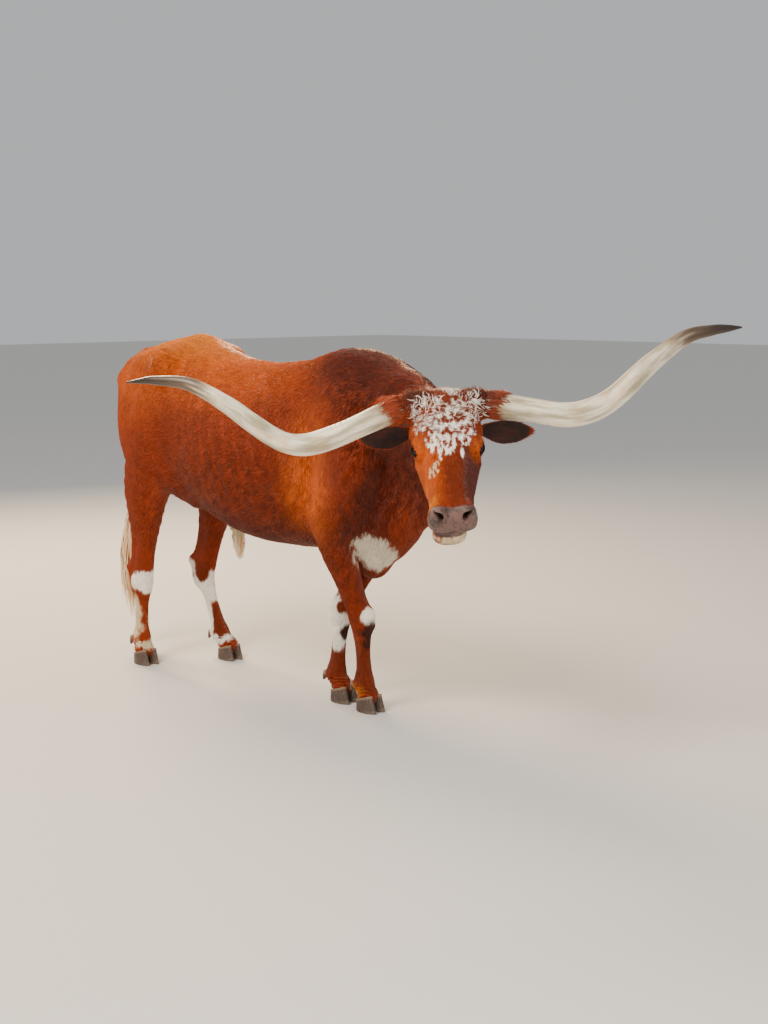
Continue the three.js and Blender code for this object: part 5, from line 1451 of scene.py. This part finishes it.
# %% [markdown]
# The coat. Short cattle hair lies flat in small tufts, so it is built that way: some hundreds of thousands
# of thin closed slivers, rooted in the skin and laid along the direction in which the hair grows. They are
# 20 mm long on the barrel, 8 mm on the face and 10 mm on the cannons, and wider where they are longer.

# %% Which way the hair lies
WHORL = np.array([150.0, 0.0, 0.0])


def toward(flow, weight, target):
    """The flow turned towards a target direction by a weight from 0 to 1."""
    return flow * (1 - weight)[:, None] + np.asarray(target, float) * weight[:, None]


def lie_at(p, normals):
    """The hair's direction: backwards on the trunk, down on the shoulder, thigh and legs, from the poll to
    the chest on the neck, and outwards from the whorl between the eyes on the head. It is laid in the surface."""
    x, y, z = p.T
    h = to_head(p)
    flow = np.tile([-1.0, 0.0, -0.3], (len(p), 1))
    flow = toward(flow, ramp(x, 330, 560) * (1 - ramp(z, 1180, 1380)), (-0.35, 0, -1))
    flow = toward(flow, 1 - ramp(x, -620, -420), (-0.4, 0, -0.9))
    flow = toward(flow, 1 - ramp(x, -860, -780), (0, 0, -1))
    flow = toward(flow, window(x, -400, 420, 80) * (1 - ramp(z, 700, 800)), (-1, 0, -0.05))
    flow = toward(flow, ramp(x, 760, 900), (-0.62, 0.3, -0.72))
    flow = toward(flow, ramp(x, 690, 800) * (1 - ramp(z, 760, 900)), (-0.3, 0, -1))
    flow = toward(flow, 1 - ramp(z, 560, 680), (-0.12, 0, -1))
    away = h - WHORL
    away /= np.linalg.norm(away, axis=1)[:, None] + 1e-6
    cheek = ramp(np.abs(h[:, 1]), 60, 100) * window(h[:, 0], 40, 320, 40)
    away = toward(away, cheek, (-0.35, 0, -0.9))
    share = head_share_of(h)
    flow = flow * (1 - share)[:, None] + (away @ HEAD_TURN.T) * share[:, None]
    swirl = 0.35 * lattice_noise(p, 130.0, 11) + 0.22 * lattice_noise(p, 38.0, 12)
    sideways = np.cross(normals, flow)
    flow = flow + swirl[:, None] * sideways
    flow = flow - (flow * normals).sum(1)[:, None] * normals
    return flow / (np.linalg.norm(flow, axis=1)[:, None] + 1e-9)


def coat_length(p):
    """Length of the tufts in millimetres at points of the skin, 0 where the skin is bare."""
    x, y, z = p.T
    h = to_head(p)
    length = np.full(len(p), 21.0)
    length += 4 * ramp(x, 780, 950) + 4 * (1 - ramp(z, 680, 780)) * (z > 600)
    legs = 1 - ramp(z, 420, 760)
    length = length * (1 - legs) + 10.5 * legs
    length += 2.5 * (1 - ramp(z, 90, 130))
    share = head_share_of(h)
    face = 13.0 - 5.5 * ramp(h[:, 0], 180, 330)
    to_eye = np.minimum(*(np.linalg.norm(h - EYE_AT * [1, s, 1], axis=1) for s in (1, -1)))
    face = np.minimum(face, 5.0 + 0.09 * np.maximum(to_eye - 18, 0))
    length = length * (1 - share) + face * share
    bare_here = (bareness(h) * share > 0.4) | ((share > 0.5) & near_nostril(h, 20))
    for s in (1, -1):
        along, up, out = eye_axes(s)
        q = h - EYE_AT * [1, s, 1]
        bare_here |= (np.linalg.norm(q, axis=1) < 34) & (almond(q @ along, q @ up) > -4.5)
    line = np.abs(h[:, 2] - MOUTH_W) < 4.5
    bare_here |= line & (h[:, 0] > MOUTH_CORNER_U) & (share > 0.5)
    return np.where(bare_here, 0.0, length)


# %% [markdown]
# Roots are spread over the triangles by area and by how dense the coat is there. Walking through the
# triangles' running total in equal steps, each step moved a little at random, spreads them evenly.

# %% Roots of the tufts
COVER = 1.35
TUFT_WIDTH = 0.15
BIGGEST_PIECE = 49000
random = np.random.default_rng(5344)


def spread(points, triangles, normals, density):
    """Places on the triangles: equal steps through the running total of area times density, then a point in
    each triangle by the square-root rule for a random point."""
    a, b, c = points[triangles].transpose(1, 0, 2)
    area = np.linalg.norm(np.cross(b - a, c - a), axis=1) / 2
    total = np.cumsum(area * density)
    count = int(total[-1])
    owner = np.searchsorted(total, (np.arange(count) + random.random(count)) / count * total[-1])
    owner = np.minimum(owner, len(triangles) - 1)
    r, q = np.sqrt(random.random(count)), random.random(count)
    weights = np.stack([1 - r, r * (1 - q), r * q], 1)
    place = (points[triangles[owner]] * weights[..., None]).sum(1)
    normal = (normals[triangles[owner]] * weights[..., None]).sum(1)
    return place, normal / np.linalg.norm(normal, axis=1)[:, None], owner


middles = skin_points[skin_triangles].mean(1)
lengths = coat_length(middles)
density = np.where(lengths > 0, COVER / (0.5 * TUFT_WIDTH * np.maximum(lengths, 1) ** 2), 0)
roots, root_normals, root_owner = spread(skin_points, skin_triangles, skin_normals, density)
root_lengths = lengths[root_owner]
print("roots of tufts:", len(roots))

# %% [markdown]
# Each piece of the coat also carries a map for baking its colours. It is a plain unrolling of the skin's own
# shape: a leg, the neck or the barrel is cut open along its length and laid flat, angle across and length
# up. Each tuft is a tiny patch at the place of its root.

# %% Pieces of the coat and their unrolling
def unrolled(p, start, end):
    """Angle round the line from start to end, and how far along it, both scaled to lie between 0 and 1."""
    start, end = np.asarray(start, float), np.asarray(end, float)
    along = (end - start) / np.linalg.norm(end - start)
    side = np.cross(along, [0.0, 1.0, 0.0] if abs(along[1]) < 0.7 else [1.0, 0.0, 0.0])
    side /= np.linalg.norm(side)
    other = np.cross(along, side)
    q = p - start
    angle = np.arctan2(q @ other, q @ side) / (2 * math.pi) + 0.5
    far = q @ along
    far = (far - far.min()) / max(float(np.ptp(far)), 1e-6)
    return np.stack([0.003 + 0.994 * angle, 0.003 + 0.994 * far], 1)


def pieces_of_coat(p):
    """The name of the piece of coat that each root belongs to, as a number in COAT_PIECES."""
    h = to_head(p)
    left = (p[:, 1] > 0).astype(int)
    piece = np.where(p[:, 0] < -350, 2 + left, np.where(p[:, 0] < 330, 4 + left, 6 + left))
    piece = np.where(p[:, 0] > 800, 1, piece)
    low = p[:, 2] < np.where(p[:, 0] > 0, 560, 600)
    piece = np.where(low & (p[:, 0] > 0), 8, np.where(low, 9, piece))
    piece = np.where((p[:, 0] < -868) & (p[:, 2] < 1290), 10, piece)
    return np.where(head_share_of(h) > 0.5, 0, piece)


COAT_PIECES = [("coat_head", [1300, -264, 1290], [1640, -600, 960]),
               ("coat_neck", [760, -10, 1060], [1330, -280, 1200]),
               ("coat_quarter_right", [-900, -60, 1080], [-340, -60, 1080]),
               ("coat_quarter_left", [-900, 60, 1080], [-340, 60, 1080]),
               ("coat_barrel_right", [-360, -20, 1040], [340, -20, 1040]),
               ("coat_barrel_left", [-360, 20, 1040], [340, 20, 1040]),
               ("coat_shoulder_right", [320, -20, 1040], [820, -20, 1040]),
               ("coat_shoulder_left", [320, 20, 1040], [820, 20, 1040]),
               ("coat_forelegs", [580, 0, 560], [580, 0, 0]), ("coat_hindlegs", [-580, 0, 600], [-580, 0, 0]),
               ("coat_tail", [-900, 0, 1290], [-930, -9, 700])]
TUFT_SHAPE = np.array([
    # across, along, up, as shares of the width, the length and the lift
    [-0.5, 0.0, -0.25], [0.5, 0.0, -0.25], [0.0, 0.22, 0.62], [0.0, 1.0, 1.0]])
TUFT_TRIANGLES = np.array([[0, 3, 1], [0, 2, 3], [1, 3, 2], [0, 1, 2]])


def tufts(p, normals, lies, lengths, lift):
    """Each tuft is TUFT_SHAPE set at its root: across its lie, along it and up from the skin."""
    across = np.cross(normals, lies)
    size = lengths[:, None, None] * [TUFT_WIDTH, 1.0, 1.0]
    size = np.repeat(size, 4, 1)
    size[:, :, 2] = lift[:, None]
    q = TUFT_SHAPE * size
    points = (p[:, None] + q[..., :1] * across[:, None] + q[..., 1:2] * lies[:, None]
              + q[..., 2:] * normals[:, None])
    triangles = TUFT_TRIANGLES + 4 * np.arange(len(p))[:, None, None]
    return points.reshape(-1, 3), triangles.reshape(-1, 3)


def patch_uv(places, corners, shape, size=0.003):
    """The OFBake map: each tuft's corners in a patch of the given size at its root's place."""
    patch = places[:, None] + size * shape[None]
    return patch[:, corners].reshape(-1, 2)


def add_coat(name, chosen, start, end, material):
    """One piece of coat from the chosen roots, with its root's place, a random shade and a tip value."""
    p, normals, lengths = roots[chosen], root_normals[chosen], root_lengths[chosen]
    lies = lie_at(p, normals)
    turn = random.normal(0, 0.16, len(p))
    lies = lies * np.cos(turn)[:, None] + np.cross(normals, lies) * np.sin(turn)[:, None]
    lengths = lengths * random.uniform(0.75, 1.25, len(p))
    lift = lengths * random.uniform(0.05, 0.15, len(p)) + 0.4
    points, triangles = tufts(p, normals, lies, lengths, lift)
    place = unrolled(p, start, end)
    corners = TUFT_TRIANGLES.ravel()
    shape = np.array([[-0.5, -0.5], [0.5, -0.5], [0.0, -0.2], [0.0, 0.5]])
    clump = 0.5 + 0.5 * lattice_noise(p, 16.0, 21)
    shade = 0.55 * random.random(len(p)) + 0.45 * clump
    return add_mesh(name, placed(points), triangles, [material], "hide", smooth=False,
                    attributes={"root": np.repeat(placed(p), 4, 0), "shade": np.repeat(shade, 4),
                                "tip": np.tile([0.0, 0.0, 0.35, 1.0], len(p))},
                    uv=patch_uv(place, corners, shape))


# %% [markdown]
# Hair on a horse or a cow is a glossy, slightly translucent fibre. At this size a tuft stands for dozens of
# fibres, so its colour varies from tuft to tuft, its root is darker, and its tip is bleached by the sun.

# %% Coat material
def hair_finish(name, roughness, sheen, tones=None):
    """Markings, with their painted light and shade, at the tuft's root, or a mix of two tones, times a shade that
    varies from tuft to tuft and lightens to the tip."""
    material, tree, shader = new_material(name, {"Roughness": roughness, "IOR": 1.55, "Sheen Weight": sheen,
                                                 "Sheen Roughness": 0.4, "Specular IOR Level": 0.3,
                                                 "Sheen Tint": linear("#ffb878")})
    root = add(tree, "ShaderNodeAttribute", {"attribute_name": "root"}).outputs["Vector"]
    shade = add(tree, "ShaderNodeAttribute", {"attribute_name": "shade"}).outputs["Fac"]
    tip = add(tree, "ShaderNodeAttribute", {"attribute_name": "tip"}).outputs["Fac"]
    if tones:
        base = blended(tree, scaled(tree, shade, 0.55, 0.95), *(linear(tone) for tone in tones))
    else:
        base = add(tree, "ShaderNodeGroup", {"node_tree": markings_and_painted_light}, {"Place": root}).outputs[0]
    value = combined(tree, "ADD", scaled(tree, shade, 0, 1, 0.72, 1.2, smooth=False),
                     scaled(tree, tip, 0, 1, -0.16, 0.14, smooth=False))
    colour = add(tree, "ShaderNodeHueSaturation", {"Saturation": 1.0}, {"Value": value, "Color": base})
    tree.links.new(colour.outputs[0], shader.inputs["Base Color"])
    return material


# Short hair with a soft gloss, whose tufts differ in lightness, so that it does not look painted
coat_material = hair_finish("short summer coat", 0.5, 0.08)
piece_of = pieces_of_coat(roots)
for index, (name, start, end) in enumerate(COAT_PIECES):
    chosen = np.flatnonzero(piece_of == index)
    if len(chosen) > BIGGEST_PIECE:
        print(name, "has", len(chosen), "tufts, thinned to", BIGGEST_PIECE)
        chosen = np.sort(random.choice(chosen, BIGGEST_PIECE, replace=False))
    add_coat(name, chosen, start, end, coat_material)

# %% [markdown]
# Long hair: the switch of the tail, the tuft of the sheath, the curls on the forehead and poll, and the hair
# round the roots of the horns. A lock is a thin tube of four sides that tapers to a point along a path of
# its own, so one function makes them all from arrays of paths.

# %% Locks
LOCK_SIDES = 4


def locks(paths, widths, normals, flat=0.55):
    """Tubes along paths (n, rings, 3): rings of LOCK_SIDES points, as wide as widths (n, rings) and flattened
    across the given normals (n, 3). The last ring is a single point, the tip."""
    count, rings = paths.shape[:2]
    tangent = np.gradient(paths, axis=1)
    tangent /= np.linalg.norm(tangent, axis=2)[..., None] + 1e-9
    side = np.cross(tangent, normals[:, None])
    side /= np.linalg.norm(side, axis=2)[..., None] + 1e-9
    other = np.cross(side, tangent)
    a = np.linspace(0, 2 * math.pi, LOCK_SIDES, endpoint=False) + math.pi / LOCK_SIDES
    circle = (side[:, :, None] * np.cos(a)[:, None] + other[:, :, None] * (flat * np.sin(a))[:, None])
    tube_ = paths[:, :, None] + circle * (widths[..., None, None] / 2)
    points = np.concatenate([tube_[:, :-1].reshape(count, -1, 3), paths[:, -1:]], 1)
    walls = grid_triangles(rings - 1, LOCK_SIDES)
    last = (rings - 2) * LOCK_SIDES
    k = np.arange(LOCK_SIDES)
    tip = np.stack([last + k, last + (k + 1) % LOCK_SIDES, np.full(LOCK_SIDES, (rings - 1) * LOCK_SIDES)], 1)
    root = np.stack([np.zeros(LOCK_SIDES - 2, int), k[2:], k[1:-1]], 1)
    one = np.vstack([walls, tip, root])
    triangles = one + points.shape[1] * np.arange(count)[:, None, None]
    return points, triangles.reshape(-1, 3), one


def add_locks(name, paths, widths, normals, places, material, slot, roots_at, flat=0.55):
    """An object of locks, with each one's root, shade and tip values, and its patch of the OFBake map."""
    count, rings = paths.shape[:2]
    points, triangles, one = locks(paths, widths, normals, flat)
    per = points.shape[1]
    along = np.concatenate([np.repeat(np.linspace(0, 1, rings)[:-1], LOCK_SIDES), [1.0]])
    across = np.concatenate([np.tile(np.linspace(-0.5, 0.5, LOCK_SIDES), rings - 1), [0.0]])
    patch = np.stack([across, along - 0.5], 1)
    return add_mesh(name, placed(points.reshape(-1, 3)), triangles, [material], slot, attributes={
        "root": np.repeat(placed(roots_at), per, 0), "shade": np.repeat(random.random(count), per),
        "tip": np.tile(along, count)}, uv=patch_uv(places, one.ravel(), patch))


def taper(rings, root=0.8, power=0.6):
    """Width along a lock, as a share: from the root's value up to 1 and down to a point."""
    t = np.linspace(0, 1, rings)
    return (root + (1 - root) * np.sin(np.minimum(t * 3, math.pi / 2))) * (1 - t ** 2) ** power


# %% [markdown]
# The switch hangs from the tip of the tail almost to the ground. Its locks start round the dock at
# several heights, spread to the width of the brush, wave a little, and end at different heights.

# %% Tail switch
SWITCH_ROWS = np.array([
    # height, x, y, half-depth, half-width
    [112, -940, -10, 8, 8], [210, -938, -10, 42, 46], [330, -936, -10, 60, 66], [470, -934, -10, 60, 66],
    [600, -931, -10, 40, 42], [740, -930, -9, 15, 15], [800, -928, -9, 15, 15]], float)
SWITCH_LOCKS = 620


HAIR_DEPTH = 0.88  # the share of the solid's depth that hanging locks are spread over


def hanging(count, rings, top, bottom, rows, wave, seed_phase):
    """Paths that hang from top to bottom inside a profile: each keeps its own share of the profile's width
    and its own angle, and sways by a sine wave."""
    t = np.linspace(0, 1, rings)[None]
    z = top[:, None] + (bottom - top)[:, None] * t
    share = np.sqrt(random.random(count))[:, None] * (0.35 + 0.6 * ramp(t, 0, 0.35))
    angle = random.uniform(0, 2 * math.pi, count)[:, None] + 0.5 * t
    x, y, deep_, wide = (np.interp(z, rows[:, 0], rows[:, k]) for k in (1, 2, 3, 4))
    deep_ = deep_ * HAIR_DEPTH
    phase = random.uniform(0, 2 * math.pi, (count, 1))
    sway = wave * np.sin(seed_phase * t * 2 * math.pi + phase) * ramp(t, 0.05, 0.4)
    return np.stack([x + deep_ * share * np.cos(angle) + sway, y + wide * share * np.sin(angle)
                     + wave * np.cos(seed_phase * 0.8 * t * 2 * math.pi + phase) * ramp(t, 0.05, 0.4), z], -1)


# Bleached hair is cream with some darker locks, so the switch is not one flat tone
pale_hair = hair_finish("bleached tail hair", 0.42, 0.1, ("#f7e6c4", "#c98a4e"))

starts = 560 + 215 * random.random(SWITCH_LOCKS) ** 0.6
ends = np.maximum(starts - random.uniform(260, 520, SWITCH_LOCKS), 118 + 60 * random.random(SWITCH_LOCKS))
paths = hanging(SWITCH_LOCKS, 12, starts, ends, SWITCH_ROWS, 5.0, 1.4)
widths = random.uniform(4.0, 7.5, SWITCH_LOCKS)[:, None] * taper(12)
outward = paths[:, 5] - [-934.0, -10.0, 0.0]
outward[:, 2] = 0
outward /= np.linalg.norm(outward, axis=1)[:, None] + 1e-6
switch_map = unrolled(paths[:, 3], [-934, -10, 760], [-938, -10, 120])
switch = add_locks("switch_hair", paths, widths, outward, switch_map, pale_hair, "pale_hair", paths[:, 0])
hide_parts("tail_switch")

# %% Sheath tuft
SHEATH_ROWS = np.array([[505, -160, 0, 6, 6], [560, -162, 0, 26, 22], [620, -168, 0, 32, 26],
                        [675, -178, 0, 20, 18], [700, -180, 0, 20, 18]], float)
SHEATH_LOCKS = 170
starts = random.uniform(640, 684, SHEATH_LOCKS)
ends = random.uniform(512, 590, SHEATH_LOCKS)
paths = hanging(SHEATH_LOCKS, 9, starts, ends, SHEATH_ROWS, 4.0, 1.0)
widths = random.uniform(3.5, 6.5, SHEATH_LOCKS)[:, None] * taper(9)
outward = np.tile([0.6, -0.8, 0.0], (SHEATH_LOCKS, 1))
sheath_map = unrolled(paths[:, 3], [-170, 0, 690], [-160, 0, 510])
sheath = add_locks("sheath_hair", paths, widths, outward, sheath_map, pale_hair, "pale_hair", paths[:, 0])
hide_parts("sheath_tuft")

# %% [markdown]
# On the forehead and poll the hair is longer and curls. These locks start along the lie, lift, and turn
# sideways towards their tips, each in its own sense. Round each horn's root a collar of hair lies out
# over the horn's first centimetres, and hides the line where horn leaves skin.

# %% Forehead and horn roots
def curled(roots_at, normals, first, lengths, rings, rise_, curl):
    """Paths from a root along a first direction, lifted by a sine hump and turned sideways by curl."""
    t = np.linspace(0, 1, rings)[None, :, None]
    sideways = np.cross(normals, first)[:, None]
    first, normals = first[:, None], normals[:, None]
    size = lengths[:, None, None]
    bend = curl[:, None, None]
    return (roots_at[:, None] + first * size * t * np.cos(bend * t * 0.8)
            + sideways * size * t * np.sin(bend * t) * 0.8
            + normals * (rise_[:, None, None] * np.sin(math.pi * 0.75 * t) - 1.0))


h_all = to_head(middles)
forehead = window(h_all[:, 0], -40, 215, 30) * (np.abs(h_all[:, 1]) < 132) * ramp(h_all[:, 2], -50, -20)
forehead *= (1 - 0.7 * ramp(h_all[:, 0], 130, 240)) * (head_share_of(h_all) > 0.2) * ~near_eye(h_all, 78)
curl_roots, curl_normals, _ = spread(skin_points, skin_triangles, skin_normals, forehead / 34.0)
CURLS = len(curl_roots)
h_curl = to_head(curl_roots)
top_share = 1 - ramp(h_curl[:, 0], 30, 150)
first = lie_at(curl_roots, curl_normals)
turn = random.normal(0, 0.55, CURLS)
first = first * np.cos(turn)[:, None] + np.cross(curl_normals, first) * np.sin(turn)[:, None]
lengths_ = random.uniform(13, 24, CURLS) * (0.75 + 0.8 * top_share)
paths = curled(curl_roots, curl_normals, first, lengths_, 7, lengths_ * random.uniform(0.1, 0.26, CURLS),
               random.choice([-1, 1], CURLS) * random.uniform(0.2, 1.3, CURLS))
widths = random.uniform(2.0, 3.6, CURLS)[:, None] * taper(7)
curl_map = unrolled(curl_roots, [1290, -260, 1300], [1500, -450, 1100])
add_locks("forehead_curls", paths, widths, curl_normals, curl_map, coat_material, "hide", curl_roots)

collar_paths, collar_normals, collar_roots = [], [], []
for side, s in SIDES.items():
    count = 330
    rows = smooth_rows(HORN_ROWS[side], 22)
    axis = (rows[30, :3] - rows[4, :3]) * [1, s, 1]
    axis /= np.linalg.norm(axis)
    across = np.cross(axis, [1.0, 0, 0])
    across /= np.linalg.norm(across)
    upward = np.cross(axis, across)
    angle = random.uniform(0, 2 * math.pi, count)
    outward = across * np.cos(angle)[:, None] + upward * np.sin(angle)[:, None]
    first_at = rows[14, :3] * [1, s, 1]
    back = random.uniform(-30, 4, count)
    base = first_at + axis * back[:, None] + outward * (46.5 + random.uniform(-1, 2, count))[:, None]
    reach = random.uniform(26, 52, count) * (1 + 0.35 * (outward[:, 2] > 0.3))
    t = np.linspace(0, 1, 7)[None, :, None]
    sway = random.normal(0, 0.22, count)
    drift = np.cross(outward, axis)
    path = (base[:, None] + axis * reach[:, None, None] * t
            + drift[:, None] * (sway * reach)[:, None, None] * t ** 1.5
            + outward[:, None] * (3.5 * np.sin(math.pi * t) - 2.5 * t))
    collar_paths.append(path @ POLL_TURN.T + POLL)
    collar_normals.append(outward @ POLL_TURN.T)
    collar_roots.append(base @ POLL_TURN.T + POLL)
paths, normals_, at = (np.concatenate(rows) for rows in (collar_paths, collar_normals, collar_roots))
widths = random.uniform(3.0, 5.5, len(paths))[:, None] * taper(7)
collar_map = unrolled(at, [1300, -264, 1260], [1420, -140, 1260])
add_locks("horn_root_hair", paths, widths, normals_, collar_map, coat_material, "hide", at)

# %% [markdown]
# The ears are covered with short hair behind, and along their rims and at the root.

# %% Ear hair
ear_roots, ear_normals, ear_lies, ear_inside = [], [], [], []
for side, (points, triangles, hollow) in ears.items():
    normals_ = normals_of(points, triangles)
    density_ = np.full(len(triangles), 1 / 14.0)
    at, normal, owner = spread(points, triangles, normals_, density_)
    direction = EAR_DIRECTION * [1, SIDES[side], 1] @ POLL_TURN.T
    lie = direction - (normal @ direction)[:, None] * normal
    ear_roots.append(at)
    ear_normals.append(normal)
    ear_lies.append(lie / np.linalg.norm(lie, axis=1)[:, None])
    ear_inside.append(hollow[triangles[owner]].mean(1))
at, normal, lie, inside_ = (np.concatenate(rows) for rows in (ear_roots, ear_normals, ear_lies, ear_inside))
outer = inside_ < 0.35
at, normal, lie = at[outer], normal[outer], lie[outer]
turn = random.normal(0, 0.3, len(at))
lie = lie * np.cos(turn)[:, None] + np.cross(normal, lie) * np.sin(turn)[:, None]
size = random.uniform(9, 15, len(at))
points, triangles = tufts(at, normal, lie, size, size * random.uniform(0.08, 0.25, len(at)) + 0.5)
ear_map = unrolled(at, [1300, -264, 1190], [1500, -80, 1190])
shape = np.array([[-0.5, -0.5], [0.5, -0.5], [0.0, -0.2], [0.0, 0.5]])
add_mesh("coat_ears", placed(points), triangles, [coat_material], "hide", smooth=False,
         attributes={"root": np.repeat(placed(at), 4, 0), "shade": np.repeat(random.random(len(at)), 4),
                     "tip": np.tile([0.0, 0.0, 0.35, 1.0], len(at))},
         uv=patch_uv(ear_map, TUFT_TRIANGLES.ravel(), shape))

# %% [markdown]
# Lashes stand along the upper lid in one row, curve down a little, and shade the eye.

# %% Lashes
LASHES = 34
lash_paths, lash_normals = [], []
for s in SIDES.values():
    along, up, out = eye_axes(s)
    x = np.linspace(-0.72, 0.9, LASHES) * EYE_HALF
    t = x / EYE_HALF
    y = EYE_HIGH * np.sqrt(1 - t * t) * (1 - 0.18 * t) - 2.2 * t + 1.2
    z = np.sqrt(np.maximum((EYE_RADIUS + LID) ** 2 - x * x - y * y, 0)) - 0.8
    q = np.linspace(0, 1, 6)[None, :, None]
    size = random.uniform(10, 16, LASHES)[:, None, None]
    lean = (t * 0.5 + random.normal(0, 0.12, LASHES))[:, None, None]
    root = (x[:, None] * along + y[:, None] * up + z[:, None] * out)[:, None]
    path = root + size * (q * (out * 0.85 + up * 0.35 + along * lean) - 0.35 * q ** 2 * up)
    lash_paths.append(from_head(path + EYE_AT * [1, s, 1]))
    lash_normals.append(np.tile(up @ HEAD_TURN.T, (LASHES, 1)))
paths, normals_ = np.concatenate(lash_paths), np.concatenate(lash_normals)
widths = np.full(len(paths), 0.9)[:, None] * taper(6)
# Dark hair that reads as a line along the lid
lash_hair, tree, shader = new_material("dark lash hair", {"Roughness": 0.45, "Base Color": linear("#2a130a")})
lash_map = unrolled(paths[:, 0], [1290, -260, 1300], [1500, -450, 1100])
add_locks("lashes", paths, widths, normals_, lash_map, lash_hair, "hide", paths[:, 0], flat=0.8)

# %% [markdown]
# The stage: a plain pale floor, a large soft key from the camera's left, a fill, and a low light behind
# that rims the back and the horns as the late sun does.

# %% Floor and light
floor_mesh = bpy.data.meshes.new("floor")
floor_mesh.from_pydata([(-40, -40, 0), (40, -40, 0), (40, 40, 0), (-40, 40, 0)], [], [(0, 1, 2, 3)])
floor = bpy.data.objects.new("floor", floor_mesh)
bpy.context.scene.collection.objects.link(floor)
# A matt floor, which takes soft shadows and hardly reflects
floor_material, tree, shader = new_material("pale studio floor", {"Roughness": 0.9,
                                                               "Base Color": linear("#d8d6d2")})
floor_mesh.materials.append(floor_material)
floor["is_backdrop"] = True


def area_light(name, place, target, size, power, colour):
    """A square soft light at a place, facing a target."""
    data = bpy.data.lights.new(name, "AREA")
    data.size = size
    data.energy = power
    data.color = linear(colour)[:3]
    lamp = bpy.data.objects.new(name, data)
    direction = np.asarray(target, float) - np.asarray(place, float)
    heading = math.atan2(direction[1], direction[0])
    rise_ = math.atan2(direction[2], math.hypot(direction[0], direction[1]))
    lamp.location = place
    lamp.rotation_euler = (math.pi / 2 + rise_, 0, heading - math.pi / 2)
    bpy.context.scene.collection.objects.link(lamp)
    return lamp


area_light("key", (0.4, -4.6, 6.0), (0, 0, 0.9), 2.6, 560, "#fff0dc")
area_light("fill", (5.2, -2.4, 1.6), (0, 0, 0.6), 3.5, 150, "#fff6ea")
area_light("rim", (-5.0, 1.5, 4.2), (0, 0, 1.2), 2.2, 620, "#ffdcae")
world = bpy.data.worlds.new("studio")
world.use_nodes = True
world.node_tree.nodes["Background"].inputs[0].default_value = linear("#eef0f2")
world.node_tree.nodes["Background"].inputs[1].default_value = 0.6
bpy.context.scene.world = world

# %% Size and finish
({"cad": [list(corner) for corner in CAD_BOX],
           "visual": [list(corner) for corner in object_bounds()]})
print("CAD box", [list(np.round(c, 4)) for c in CAD_BOX])
